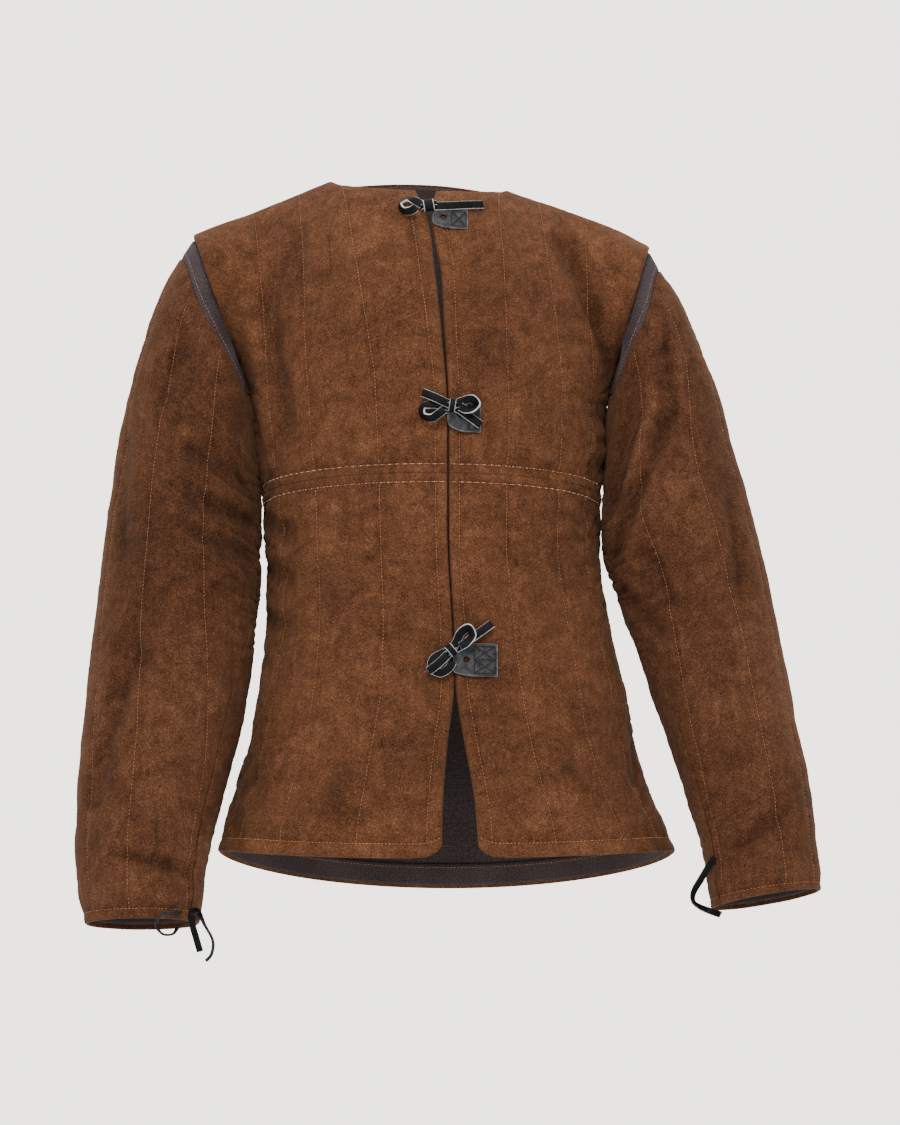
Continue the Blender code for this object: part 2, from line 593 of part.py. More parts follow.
def panel(name, finish, outer, inner, u, v, keep_u, keep_v, skip=()):
    """A closed wall from a fine outer grid and an inner grid of every keep-th row and column."""
    outer_numbers = np.arange(outer.shape[0] * outer.shape[1]).reshape(outer.shape[:2])
    inner = inner[::keep_u, ::keep_v]
    inner_numbers = np.arange(inner.shape[0] * inner.shape[1]).reshape(inner.shape[:2])
    inner_numbers = inner_numbers + outer_numbers.size
    faces = grid_faces(outer_numbers, skip) + grid_faces(inner_numbers, skip)
    for end in (0, -1):
        faces += strip(outer_numbers[:, end], inner_numbers[:, end], u, u[::keep_u])
        faces += strip(outer_numbers[end], inner_numbers[end], v, v[::keep_v])
    for i, j in skip:
        ring = ((i, j), (i + 1, j), (i + 1, j + 1), (i, j + 1), (i, j))
        for here, there in zip(ring, ring[1:]):
            a, b = outer_numbers[here], outer_numbers[there]
            c, d = inner_numbers[there], inner_numbers[here]
            faces += [(a, b, c), (a, c, d)]
    points = np.concatenate((outer.reshape(-1, 3), inner.reshape(-1, 3)))
    return add_piece(name, finish, points, faces)


def tube(name, finish, outer, inner):
    """A closed wall round a hollow, open at both ends, from two grids that close on themselves."""
    count, rows = outer.shape[:2]
    outer_numbers = np.arange(count * rows).reshape(count, rows)
    outer_numbers = np.concatenate((outer_numbers, outer_numbers[:1]))
    inner_numbers = outer_numbers + count * rows
    faces = grid_faces(outer_numbers) + grid_faces(inner_numbers)
    for end in (0, -1):
        rim = np.stack((outer_numbers[:, end], inner_numbers[:, end]), -1)
        faces += grid_faces(rim)
    points = np.concatenate((outer.reshape(-1, 3), inner.reshape(-1, 3)))
    return add_piece(name, finish, points, faces)


def front_columns():
    edge = SEAM_GAP / 2 / PANEL_WIDTH
    columns = [0.0, 0.018, 0.055]
    for low, high in zip(FRONT_LINES[1:], FRONT_LINES[2:]):
        columns += list(np.linspace(low, high, 5)[1:])
    columns[-1] = 1.0 - edge
    return np.array(columns)


def back_columns():
    half = [0.0]
    for low, high in zip(BACK_LINES, BACK_LINES[1:]):
        half += list(np.linspace(low, high, 5)[1:])
    half[-1] = 1.0 - SEAM_GAP / 2 / PANEL_WIDTH
    half = np.array(half) / 2
    return np.concatenate((0.5 - half[::-1], 0.5 + half[1:]))


def chest_levels():
    rows = np.array((0.15, 4.5, 9.0, 18.0, 32.0, 49.0, 68.0, 86.0, 103.0)) * MM
    low = rows / (CHEST_Z - WAIST_Z)
    high = np.array((1.09, 1.18, 1.28, 1.39, 1.50, 1.61, 1.72, 1.82, 1.91, 2.0 - 0.0008))
    return np.concatenate((low, high))


def skirt_levels():
    """Rows from the hem up to the waist seam."""
    rows = np.array((0.15, 4.5, 9.0, 18.0, 34.0, 58.0, 84.0, 111.0, 138.0, 165.0, 192.0, 219.0,
                     246.0, 273.0, 300.0, 325.0, 345.0)) * MM / 0.382
    return -np.concatenate((rows, (0.9475, 0.9650, 0.9850, 1.0)))[::-1]


def sleeve_rows():
    return np.array((0.002, 0.03, 0.07, 0.115, 0.16, 0.21, 0.26, 0.31, 0.37, 0.43, 0.50, 0.57,
                     0.64, 0.71, 0.78, 0.85, 0.915, 0.955, 0.985, 0.993, 1.0))


def thin_out(values):
    """Every other value, which always keeps the last."""
    return values[::2]


def make_body():
    """Outer fronts and back above and below the waist seam, and the lining inside them."""
    lining_levels = np.concatenate((thin_out(skirt_levels())[1:], thin_out(chest_levels())[1:]))
    lining_levels[-1] = 2.0 - 0.004
    for side, word in ((-1.0, "right"), (1.0, "left")):
        plain = front_plain(side)
        columns = front_columns()
        for level, piece in ((chest_levels(), "chest"), (skirt_levels(), "skirt")):
            points, normals, share, level_at = surface(plain, columns, level, torso_inside)
            turn = 90 * (1 - share) + (0 if side > 0 else 180) * share
            fold = fold_depth(BODY_FOLDS, turn, points[..., 2], TORSO_ARC, 1.0)[..., None]
            pad = body_pad(share, level_at, FRONT_LINES, FRONT_FILL, np.radians(turn))[..., None]
            inner = points + normals * fold
            outer = inner + normals * pad
            panel(f"front_{piece}_{word}", "suede", outer, inner, columns, level, 2, 2)
        lining_columns = thin_out(columns).copy()
        lining_columns[0] = 0.012
        lining_columns[-1] = 1 - 0.004
        points, normals, share, _ = surface(plain, lining_columns, lining_levels, torso_inside)
        turn = 90 * (1 - share) + (0 if side > 0 else 180) * share
        fold = fold_depth(BODY_FOLDS, turn, points[..., 2], TORSO_ARC, 1.0)[..., None]
        outer = points + normals * (np.minimum(fold, 0) - LINING_GAP)
        inner = outer - normals * LINING
        panel(f"lining_front_{word}", "lining", outer, inner, lining_columns, lining_levels, 1, 1)

    columns = back_columns()
    for level, piece in ((chest_levels(), "chest"), (skirt_levels(), "skirt")):
        points, normals, share, level_at = surface(back_plain, columns, level, torso_inside)
        turn = 360 - 180 * share
        fold = fold_depth(BODY_FOLDS, turn, points[..., 2], TORSO_ARC, 1.0)[..., None]
        half_share = np.abs(share - 0.5) * 2
        pad = body_pad(half_share, level_at, BACK_LINES, BACK_FILL, np.radians(turn))[..., None]
        inner = points + normals * fold
        outer = inner + normals * pad
        panel(f"back_{piece}", "suede", outer, inner, columns, level, 2, 2)
    lining_columns = thin_out(columns).copy()
    lining_columns[0] = 0.002
    lining_columns[-1] = 1 - 0.002
    points, normals, share, _ = surface(back_plain, lining_columns, lining_levels, torso_inside)
    fold = fold_depth(BODY_FOLDS, 360 - 180 * share, points[..., 2], TORSO_ARC, 1.0)[..., None]
    outer = points + normals * (np.minimum(fold, 0) - LINING_GAP)
    inner = outer - normals * LINING
    panel("lining_back", "lining", outer, inner, lining_columns, lining_levels, 1, 1)

    facing_levels = -np.array((0.992, 0.965, 0.935))
    points, normals, share, _ = surface(back_plain, lining_columns, facing_levels, torso_inside)
    fold = fold_depth(BODY_FOLDS, 360 - 180 * share, points[..., 2], TORSO_ARC, 1.0)[..., None]
    outer = points + normals * (np.minimum(fold, 0) - LINING_GAP - LINING - FACING_GAP)
    inner = outer - normals * LINING
    panel("hem_facing", "lining", outer, inner, lining_columns, facing_levels, 1, 1)


def make_sleeves():
    for word in ("right", "left"):
        rows = sleeve_rows()
        for piece, arc, channels, span in (("outer", outer_arc, OUTER_CHANNELS, OUTER_SPAN),
                                           ("under", under_arc, UNDER_CHANNELS, UNDER_SPAN)):
            gap = SEAM_GAP / 2 / (math.radians(span) * SLEEVE_ARC)
            columns = np.linspace(0, 1, channels * 4 + 1)
            columns[0], columns[-1] = gap, 1 - gap
            plain = sleeve_plain(word, arc)
            points, normals, share, run = surface(plain, columns, rows, sleeve_inside(word))
            turn = np.degrees(arc(share, run))
            fold = fold_depth(SLEEVE_FOLDS[word], turn, run, SLEEVE_ARC, SLEEVE_LENGTH)
            inner = points + normals * fold[..., None]
            outer = inner + normals * sleeve_pad(share, run, channels)[..., None]
            panel(f"sleeve_{piece}_{word}", "suede", outer, inner, columns, rows, 2, 2)
        make_band(word)
        make_cuff_lining(word)


def ring_columns():
    """Angles round a sleeve at which the inner faces of its two panels have their points."""
    outer = np.linspace(0, 1, OUTER_CHANNELS * 2 + 1)
    under = np.linspace(0, 1, UNDER_CHANNELS * 2 + 1)[1:-1]
    return outer, under


def make_cuff_lining(word):
    outer_share, under_share = ring_columns()
    rows = thin_out(sleeve_rows())[-3:-1]
    grids = []
    for arc, share in ((outer_arc, outer_share), (under_arc, under_share)):
        plain = sleeve_plain(word, arc)
        points, normals, share_at, run = surface(plain, share, rows, sleeve_inside(word))
        turn = np.degrees(arc(share_at, run))
        fold = fold_depth(SLEEVE_FOLDS[word], turn, run, SLEEVE_ARC, SLEEVE_LENGTH)[..., None]
        outer = points + normals * (np.minimum(fold, 0) - LINING_GAP)
        grids.append((outer, outer - normals * LINING))
    outer = np.concatenate([grid[0] for grid in grids])
    inner = np.concatenate([grid[1] for grid in grids])
    tube(f"cuff_lining_{word}", "lining", outer, inner)


def armhole_edge(word):
    """Inner face's armhole edge and its normals, by angle round the sleeve head: 0 is the
    shoulder point, 90 the front, 180 the underarm."""
    side = -1.0 if word == "right" else 1.0
    turns = np.radians(np.arange(0, 360, 15.0))
    away = np.abs(np.where(turns > math.pi, 2 * math.pi - turns, turns)) / math.pi
    level = 2 - np.clip(away, 0.004, 1)
    front, front_normal, _, _ = surface(front_plain(side), np.array((1.0,)), level, torso_inside)
    back_share = np.array((0.0 if side > 0 else 1.0,))
    back, back_normal, _, _ = surface(back_plain, back_share, level, torso_inside)
    is_front = ((turns > 0) & (turns <= math.pi))[:, None]
    return turns, np.where(is_front, front[0], back[0]), np.where(is_front, front_normal[0],
                                                                  back_normal[0])


def make_band(word):
    """Canvas band: along the armhole's edge over the shoulder, and free of it under the arm."""
    side = -1.0 if word == "right" else 1.0
    turns, edge, edge_normal = armhole_edge(word)
    ring = sleeve_plain(word, lambda share, run: share)
    start, start_normal, _, _ = surface(ring, turns, np.array((-0.022,)), sleeve_inside(word))
    end, end_normal, _, _ = surface(ring, turns, np.array((-0.0015,)), sleeve_inside(word))
    start, start_normal, end, end_normal = (grid[:, 0] for grid in (start, start_normal, end,
                                                                    end_normal))
    outward = end - edge
    outward /= np.linalg.norm(outward, axis=-1, keepdims=True)
    sewn = edge + outward * BAND_START
    away = np.degrees(np.where(turns > math.pi, 2 * math.pi - turns, turns))
    free = smooth_step((away - 70) / 45)[:, None]
    first = sewn * (1 - free) + start * free
    first_normal = edge_normal * (1 - free) + start_normal * free
    rows = []
    normals = []
    for share in (0.0, 0.5, 1.0):
        rows.append(first + (end - first) * share)
        normals.append(first_normal + (end_normal - first_normal) * share)
    inner = np.stack(rows, 1)
    normal = np.stack(normals, 1)
    normal /= np.linalg.norm(normal, axis=-1, keepdims=True)
    swell = np.array((0.0, BAND_SWELL, 0.0))
    outer = inner + normal * (BAND + swell[None, :, None])
    tube(f"sleeve_band_{word}", "canvas", outer, inner)


def front_y(x, z):
    """The wearer's left front at the top of its padding, by solving for its share and level."""
    x, z = np.broadcast_arrays(np.asarray(x, float), np.asarray(z, float))
    plain = front_plain(1.0)
    share = np.full(x.shape, 0.1)
    level = np.where(z < WAIST_Z, (z - WAIST_Z) / (WAIST_Z - HEM_SIDE_Z),
                     np.where(z < CHEST_Z, (z - WAIST_Z) / (CHEST_Z - WAIST_Z),
                              1 + (z - CHEST_Z) / (NECK_SIDE_Z - CHEST_Z)))
    step = 1e-4
    for _ in range(12):
        here = plain(share, level)
        by_share = (plain(share + step, level) - here) / step
        by_level = (plain(share, level + step) - here) / step
        miss_x, miss_z = x - here[..., 0], z - here[..., 2]
        scale = by_share[..., 0] * by_level[..., 2] - by_share[..., 2] * by_level[..., 0]
        share = share + (miss_x * by_level[..., 2] - miss_z * by_level[..., 0]) / scale
        level = level + (miss_z * by_share[..., 0] - miss_x * by_share[..., 2]) / scale
    return plain(share, level)[..., 1] - BODY_PAD


def on_front(x, z, lift):
    return np.stack((x, front_y(x, z) - lift, z), -1)


def make_tabs():
    for tab in TABS:
        hole = (tab.hole_x - tab.tip_x) / (tab.root_x - tab.tip_x)
        half_hole = TAB_HOLE / (tab.root_x - tab.tip_x)
        along = np.array((0.0, 0.07, hole - half_hole, hole + half_hole, 0.72, 0.86, 1.0))
        across = np.array((-1.0, -0.6, -0.24, 0.24, 0.6, 1.0))
        share, height = np.meshgrid(along, across, indexing="ij")
        x = tab.tip_x + (tab.root_x - tab.tip_x) * share
        widen = np.sqrt(np.clip(1 - (1 - np.clip(share / 0.62, 0, 1)) ** 2, 0, 1))
        half = tab.tip_half + (tab.root_half - tab.tip_half) * widen
        z = tab.mid_z + half * height
        inner = on_front(x, z, TAB_LIFT)
        outer = on_front(x, z, TAB_LIFT + TAB)
        panel(f"tab_{tab.name}", "leather", outer, inner, along, across, 1, 1, skip=((2, 2),))


def strap(name, finish, route, leans, faces_to, width, thickness, count):
    """A flat strap along a smooth curve through the route's points, leaning as it goes."""
    places = np.arange(len(route), dtype=float)
    route_table = Table("place x y z lean", *[(p, *xyz, lean) for p, xyz, lean in
                                              zip(places, route, leans)])
    at = np.linspace(0, places[-1], count)
    line = np.stack([route_table.at(axis, at) for axis in "xyz"], -1)
    lean = np.radians(route_table.at("lean", at))[:, None]
    ahead = np.gradient(line, axis=0)
    ahead /= np.linalg.norm(ahead, axis=-1, keepdims=True)
    side = np.cross(ahead, faces_to)
    side /= np.linalg.norm(side, axis=-1, keepdims=True)
    face = np.cross(side, ahead)
    wide = side * np.cos(lean) + face * np.sin(lean)
    thick = np.cross(wide, ahead)
    corners = [line + wide * a * width / 2 + thick * b * thickness / 2
               for a, b in ((-1, -1), (1, -1), (1, 1), (-1, 1))]
    numbers = np.arange(4 * count).reshape(4, count)
    loop = np.concatenate((numbers, numbers[:1]))
    faces = grid_faces(loop)
    for end in (0, -1):
        a, b, c, d = numbers[:, end]
        faces += [(a, b, c), (a, c, d)]
    return add_piece(name, finish, np.concatenate(corners), faces)


def tab_named(name):
    return next(tab for tab in TABS if tab.name == name)


def make_ties():
    out = np.array((0.0, -1.0, 0.0))
    for name, (tab_name, steps) in THONGS.items():
        tab = tab_named(tab_name)
        x = np.array([tab.knot_x + step.across * MM for step in steps])
        z = np.array([tab.knot_z + step.up * MM for step in steps])
        lift = np.array([TAB + THONG_LIFT + step.lift * MM for step in steps])
        route = on_front(x, z, lift)
        strap(name, "leather", route, [step.lean for step in steps], out, THONG_WIDTH, THONG, 24)
    for knot in KNOTS:
        make_knot(knot)


def make_knot(knot):
    """The strap's turn over a knot: a low pillow, round at its sides."""
    tab = tab_named(knot.tab)
    top = front_y(np.array(tab.knot_x), np.array(tab.knot_z)) - TAB - THONG_LIFT
    bm = bmesh.new()
    bmesh.ops.create_cube(bm, size=2.0)
    bmesh.ops.bevel(bm, geom=bm.edges[:], offset=0.55, segments=2, affect="EDGES", profile=0.6)
    turn = math.radians(knot.turn)
    middle = (knot.low + knot.high) / 2
    for vertex in bm.verts:
        x = vertex.co.x * knot.half_x
        z = vertex.co.z * knot.half_z
        vertex.co = (
            tab.knot_x + (x * math.cos(turn) - z * math.sin(turn)) * MM,
            float(top) - (middle + vertex.co.y * (knot.high - knot.low) / 2) * MM,
            tab.knot_z + (x * math.sin(turn) + z * math.cos(turn)) * MM,
        )
    bmesh.ops.triangulate(bm, faces=bm.faces[:])
    points = [tuple(vertex.co) for vertex in bm.verts]
    bm.verts.index_update()
    faces = [tuple(vertex.index for vertex in face.verts) for face in bm.faces]
    bm.free()
    add_piece(f"tie_{knot.tab}_knot", "leather", points, faces)


def sleeve_front_y(word, x, run):
    """The front of a sleeve's outer face at x, at the top of its padding."""
    table = SLEEVES[word]
    outer, inner = table.at("out_x", run), table.at("in_x", run)
    across = np.clip((x - (outer + inner) / 2) / ((outer - inner) / 2), -0.94, 0.94)
    depth = table.at("half_y", run) + SLEEVE_PAD
    return table.at("mid_y", run) - depth * np.sqrt(1 - across ** 2)


def make_laces():
    out = np.array((0.0, -1.0, 0.0))
    for name, (word, steps) in LACES.items():
        foot = sleeve_plain(word, outer_arc)(np.array((1.0,)), np.array((1.0,)))[0]
        route = []
        for step in steps:
            run = np.clip(1 - step.up * MM / SLEEVE_LENGTH, 0, 1)
            x = foot[0] + step.across * MM
            y = sleeve_front_y(word, x, run) - step.lift * MM
            route.append((x, y, foot[2] + step.up * MM))
        strap(name, "leather", route, [step.lean for step in steps], out, LACE_WIDTH, LACE, 20)


clear_scene()
make_body()
make_sleeves()
make_tabs()
make_ties()
make_laces()
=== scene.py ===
# Padded suede arming jacket, filled out as if worn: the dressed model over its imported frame.
import math

import bmesh
import bpy
import numpy as np
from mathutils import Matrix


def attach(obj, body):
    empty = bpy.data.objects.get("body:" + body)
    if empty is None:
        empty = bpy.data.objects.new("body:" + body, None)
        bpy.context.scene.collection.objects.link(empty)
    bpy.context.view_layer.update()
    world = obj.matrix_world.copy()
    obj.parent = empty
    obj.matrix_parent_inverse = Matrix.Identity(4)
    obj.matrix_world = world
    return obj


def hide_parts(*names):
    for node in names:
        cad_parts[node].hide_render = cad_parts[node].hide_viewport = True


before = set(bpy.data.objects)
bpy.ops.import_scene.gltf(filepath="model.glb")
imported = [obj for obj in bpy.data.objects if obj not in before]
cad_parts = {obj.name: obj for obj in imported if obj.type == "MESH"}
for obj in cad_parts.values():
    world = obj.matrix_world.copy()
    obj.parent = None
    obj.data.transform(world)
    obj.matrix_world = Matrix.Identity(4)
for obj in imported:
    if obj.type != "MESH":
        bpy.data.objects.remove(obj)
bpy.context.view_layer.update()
print("frame loaded,", len(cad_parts), "nodes")

mm = 0.001

# camera, lights and floor
studio = {
    "cameraPlace": (0.030, -3.5, -1.095),   # well below the hem, looking up a little
    "pitch": 11.7,                          # degrees above level
    "focalPixels": 3512.0, "pictureHigh": 1125, "sensor": 36.0, "clip": (0.05, 60.0),
    "worldColour": (0.965, 0.935, 0.890),
    "worldStrength": 1.28,                  # lights the part
    "backdropStrength": 3.4,                # is what the camera sees behind it
    "floorZ": -1.40, "floorReach": 30.0, "floorColour": (0.93, 0.92, 0.90), "floorRough": 0.9,
    "aim": (0.03, 0.0, -0.36),              # where the lights point
    # name: place, width, height, watts, colour
    "lights": {
        "keyLight": ((-0.10, -2.4, 1.2), 0.9, 0.7, 54.0, (1.0, 0.97, 0.93)),
        "topLight": ((-0.2, 0.1, 1.9), 1.2, 0.9, 24.0, (1.0, 0.98, 0.95)),
        "backLight": ((0.5, 2.6, 0.9), 1.6, 1.6, 24.0, (1.0, 0.98, 0.95)),
    },
}


def linked(name, data):
    thing = bpy.data.objects.new(name, data)
    bpy.context.collection.objects.link(thing)
    return thing


def makeCamera():
    lens = bpy.data.cameras.new("camera")
    lens.sensor_width = studio["sensor"]
    lens.lens = studio["focalPixels"] / studio["pictureHigh"] * lens.sensor_width
    lens.clip_start, lens.clip_end = studio["clip"]
    camera = linked("camera", lens)
    camera.location = studio["cameraPlace"]
    camera.rotation_euler = (math.radians(90 + studio["pitch"]), 0.0, 0.0)
    bpy.context.scene.camera = camera


def makeLights():
    for name, (place, width, height, watts, colour) in studio["lights"].items():
        lamp = bpy.data.lights.new(name, "AREA")
        lamp.shape, lamp.size, lamp.size_y = "RECTANGLE", width, height
        lamp.energy, lamp.color = watts, colour
        thing = linked(name, lamp)
        thing.location = place
        away = np.array(place) - studio["aim"]
        tilt = math.atan2(math.hypot(away[0], away[1]), away[2])
        thing.rotation_euler = (tilt, 0.0, math.atan2(away[0], -away[1]))
    world = bpy.data.worlds.new("studio")
    world.use_nodes = True
    tree = world.node_tree
    lit, seen = tree.nodes["Background"], addNode(tree, "ShaderNodeBackground")
    for node, key in ((lit, "worldStrength"), (seen, "backdropStrength")):
        node.inputs["Color"].default_value = (*studio["worldColour"], 1.0)
        node.inputs["Strength"].default_value = studio[key]
    ray = addNode(tree, "ShaderNodeLightPath").outputs["Is Camera Ray"]
    pick = addNode(tree, "ShaderNodeMixShader", wires={"Fac": ray, 1: lit.outputs[0],
                                                       2: seen.outputs[0]})
    tree.links.new(pick.outputs[0], tree.nodes["World Output"].inputs["Surface"])
    bpy.context.scene.world = world


def makeFloor():
    reach, z = studio["floorReach"], studio["floorZ"]
    mesh = bpy.data.meshes.new("floor")
    mesh.from_pydata([(-reach, -reach, z), (reach, -reach, z), (reach, reach, z),
                      (-reach, reach, z)], [], [(0, 1, 2, 3)])
    material, _, _ = newMaterial("paleFloor", {"Base Color": (*studio["floorColour"], 1.0),
                                               "Roughness": studio["floorRough"]})
    mesh.materials.append(material)
    linked("floor", mesh)


def tableOf(columns, *rows):
    # a column whose name ends in /mm is written in millimetres and kept in metres
    names = columns.split()
    units = [mm if name.endswith("/mm") else 1.0 for name in names]
    return {"columns": [name.split("/")[0] for name in names],
            "rows": np.array(rows, dtype=float) * units}


def readTable(table, column, where):
    # smooth cubic through the rows, read by the first column; straight on past the ends
    keys = table["rows"][:, 0]
    values = table["rows"][:, table["columns"].index(column)]
    slopes = np.gradient(values, keys)
    where = np.asarray(where, dtype=float)
    low = np.clip(np.searchsorted(keys, where) - 1, 0, len(keys) - 2)
    step = keys[low + 1] - keys[low]
    t = (where - keys[low]) / step
    start = (1 + 2 * t) * (1 - t) ** 2 * values[low] + t * (1 - t) ** 2 * step * slopes[low]
    end = t * t * (3 - 2 * t) * values[low + 1] + t * t * (t - 1) * step * slopes[low + 1]
    return start + end


def easeIn(t):
    t = np.clip(t, 0.0, 1.0)
    return t * t * (3 - 2 * t)


def bump(away, wide):
    # bell curve, 1 at no distance
    return np.exp(-(away / wide) ** 2)


def unit(vectors):
    return vectors / np.linalg.norm(vectors, axis=-1, keepdims=True)


def softNoise(points, size, seed):
    # smooth noise from -1 to 1: random values on a lattice of this size, blended between corners
    cell = points / size
    corner = np.floor(cell)
    t = easeIn(cell - corner)
    total = np.zeros(points.shape[:-1])
    for shift in np.ndindex(2, 2, 2):
        wave = np.sin((corner + shift) @ np.array((127.1, 311.7, 74.7)) + seed * 17.3) * 43758.5453
        weight = np.prod(np.where(np.array(shift) == 1, t, 1 - t), axis=-1)
        total += weight * ((wave - np.floor(wave)) * 2 - 1)
    return total


# the body's cut, in metres
body = {
    "chestZ": -0.200, "waistZ": -0.303, "hemSideZ": -0.667,
    "hemDrop": 0.021,            # lower at the middle of the front and back
    "cornerHigh": 0.014, "cornerShare": 0.074,   # round corners at the front slit
    "shoulderTilt": -0.033,      # the wearer's left shoulder sits lower
    "neckMidX": -0.003, "neckHalf": 0.092,
    "neckSideZ": {-1: 0.0220, 1: 0.0185},        # by side: -1 right, 1 left
    "neckFrontY": -0.080, "neckFrontZ": -0.002, "neckBackY": 0.064, "neckBackZ": 0.0515,
    "shoulderHalf": 0.2345, "shoulderZ": {-1: -0.0395, 1: -0.0370},
    "shoulderCrown": {-1: 0.0005, 1: 0.0060}, "crownSkew": 1.3,   # rise of the shoulder seam
    "armholeSwing": 0.050, "swingStart": 0.62,
    "neckShare": 0.37,           # of a front's width, ends at the neckline
    "reachFront": 56, "reachBack": 62, "reachShoulder": 90,
    "pressed": 2.4 * mm, "padding": 7.5 * mm, "thinnest": 1.6 * mm,
    "frontLines": (0.0, 0.042, 0.24, 0.50, 0.72, 1.0),
    "backLines": (0.0, 0.24, 0.50, 0.74, 1.0),
    "panelWidth": 0.27,          # mean width of a front and of half the back
    "skirtHigh": 0.375, "skirtLong": 0.38, "shoulderLong": 0.22, "topHigh": 0.20,
    "waistLevels": (-0.0240, 0.0874),   # rows of stitching beside the waist seam
    "hemLevel": -0.9655,         # and along the hem
    "joinLevel": -0.60, "joinShares": (0.042, 0.24),   # faint join in the left skirt
    "joinWide": 1.6 * mm, "joinDeep": 0.8 * mm,
    "arc": 0.150,                # turns an angle round the body into a distance
    "cell": 2.4 * mm,            # grid
    "seamGap": 0.02 * mm,
    "liningThick": 1.2 * mm, "liningGap": 0.9 * mm, "facingGap": 2.5 * mm,
    "facingLevel": -0.945,       # row of stitching along the hem facing
}
torso = tableOf(
    "z/mm mid/mm half/mm front/mm back/mm",
    (-720, 30, 240, 134, 134), (-667, 27, 225.5, 128, 128), (-614, 22, 203.5, 124, 124),
    (-573, 21.5, 191.5, 121, 121), (-512, 22, 180, 118, 119), (-450, 18.5, 169, 115, 116),
    (-368, 12, 164, 111, 112), (-303, 11, 169, 112, 109), (-250, 10, 173.5, 116, 113),
    (-200, 9, 176.5, 119, 118), (-150, 9.8, 178.7, 122, 121),
)
opening = tableOf(
    "z/mm right/mm left/mm",
    (-720, 21.5, 59), (-674, 22.3, 57), (-629, 23.4, 53.5), (-573, 28, 43.7), (-524, 33.8, 35.8),
    (-464, 32.5, 33.7), (-380, 27.8, 29), (-300, 27.3, 28.5), (-216, 26.4, 27.6),
    (-170, 22.6, 24.6), (-101, 15.5, 21), (-27, 4.5, 11.2), (10, -10, 18),
)
# main folds: degrees from the wearer's left side over the front, height, width and depth
bodyFolds = tableOf(
    "turnA alongA/mm turnB alongB/mm width/mm depth/mm",
    (136, -45, 138, -115, 13, -3), (151, -105, 146, -245, 13, -4), (163, -120, 158, -230, 12, 3),
    (176, -330, 150, -350, 11, -3.5), (178, -375, 150, -400, 11, -3.5),
    (174, -430, 152, -450, 12, -3), (177, -555, 158, -600, 13, -3.5),
    (172, -615, 158, -645, 12, -3), (36, -55, 14, -165, 13, -4.5), (24, -50, 8, -130, 12, 3),
    (3, -230, 25, -222, 11, -3), (3, -272, 23, -280, 11, -3.5), (5, -335, 27, -325, 12, -3),
    (8, -560, 22, -600, 13, -3), (209, -100, 216, -240, 14, -4), (330, -80, 338, -200, 14, -4),
    (186, -345, 212, -362, 12, -3.5), (188, -400, 214, -410, 12, -3),
    (352, -250, 327, -268, 12, -3), (350, -340, 326, -350, 12, -3.5),
    (252, -335, 288, -340, 14, -2.5), (236, -430, 232, -660, 26, 4.5),
    (272, -450, 270, -660, 28, -4), (306, -430, 310, -660, 26, 4.5),
)
# finer creases in the padding alone
bodyCreases = tableOf(
    "turnA alongA/mm turnB alongB/mm width/mm depth/mm",
    (179, -318, 160, -330, 4.5, -1.6), (177, -352, 158, -366, 4.5, -1.8),
    (172, -362, 149, -372, 6, 1.2), (179, -392, 163, -412, 4.5, -1.6),
    (175, -415, 155, -430, 5.5, 1.2), (178, -468, 160, -482, 5, -1.5),
    (175, -505, 163, -528, 5, -1.3), (176, -580, 160, -618, 5, -1.5),
    (170, -630, 157, -655, 5, -1.2), (160, -205, 148, -262, 5.5, -1.4),
    (170, -215, 160, -290, 5.5, -1.5), (141, -60, 149, -150, 6, -1.3),
    (152, -60, 158, -110, 6, 1.2), (1, -214, 17, -208, 4.5, -1.5), (1, -246, 20, -252, 5, -1.7),
    (4, -262, 27, -268, 5.5, 1.2), (1, -296, 22, -306, 4.5, -1.5), (2, -318, 18, -312, 5, -1.5),
    (3, -360, 21, -352, 5, -1.4), (4, -400, 16, -408, 5, -1.1), (6, -520, 17, -560, 5.5, -1.3),
    (12, -575, 24, -630, 5.5, -1.1), (42, -60, 22, -140, 5.5, -1.4), (30, -45, 12, -110, 6, -1.3),
    (112, -305, 96, -309, 5, -0.8), (60, -330, 78, -326, 6, -0.9),
    (184, -322, 205, -334, 4.5, -1.6), (183, -368, 206, -380, 4.5, -1.7),
    (185, -420, 204, -432, 5, -1.4), (356, -232, 338, -242, 4.5, -1.5),
    (355, -282, 336, -300, 4.5, -1.6), (354, -318, 334, -330, 5, -1.5),
    (240, -310, 262, -316, 5, -1), (282, -320, 301, -314, 5, -1), (216, -120, 221, -200, 6, -1.4),
    (324, -110, 331, -190, 6, -1.4),
)


def foldDepth(folds, turn, along, arc, length):
    # sum of soft troughs and ridges, each a rounded line on the unrolled cloth
    across, down = np.radians(turn) * arc, along * length
    depth = np.zeros(np.broadcast(across, down).shape)
    for turnA, alongA, turnB, alongB, width, height in folds["rows"]:
        startX, startY = math.radians(turnA) * arc, alongA * length
        lineX, lineY = math.radians(turnB) * arc - startX, alongB * length - startY
        around = np.mod(across - startX + math.pi * arc, 2 * math.pi * arc) - math.pi * arc
        share = (around * lineX + (down - startY) * lineY) / (lineX ** 2 + lineY ** 2)
        share = np.clip(share, 0.0, 1.0)
        away = np.hypot(around - share * lineX, down - startY - share * lineY)
        depth += height * bump(away, width)
    return depth


def torsoRing(angle, z):
    # level section of two half ellipses, deeper or flatter in front than behind
    sine = np.sin(angle)
    depth = np.where(sine > 0, readTable(torso, "front", z), readTable(torso, "back", z))
    x = readTable(torso, "mid", z) + readTable(torso, "half", z) * np.cos(angle)
    return np.stack((x, -depth * sine, z + 0 * angle), -1)


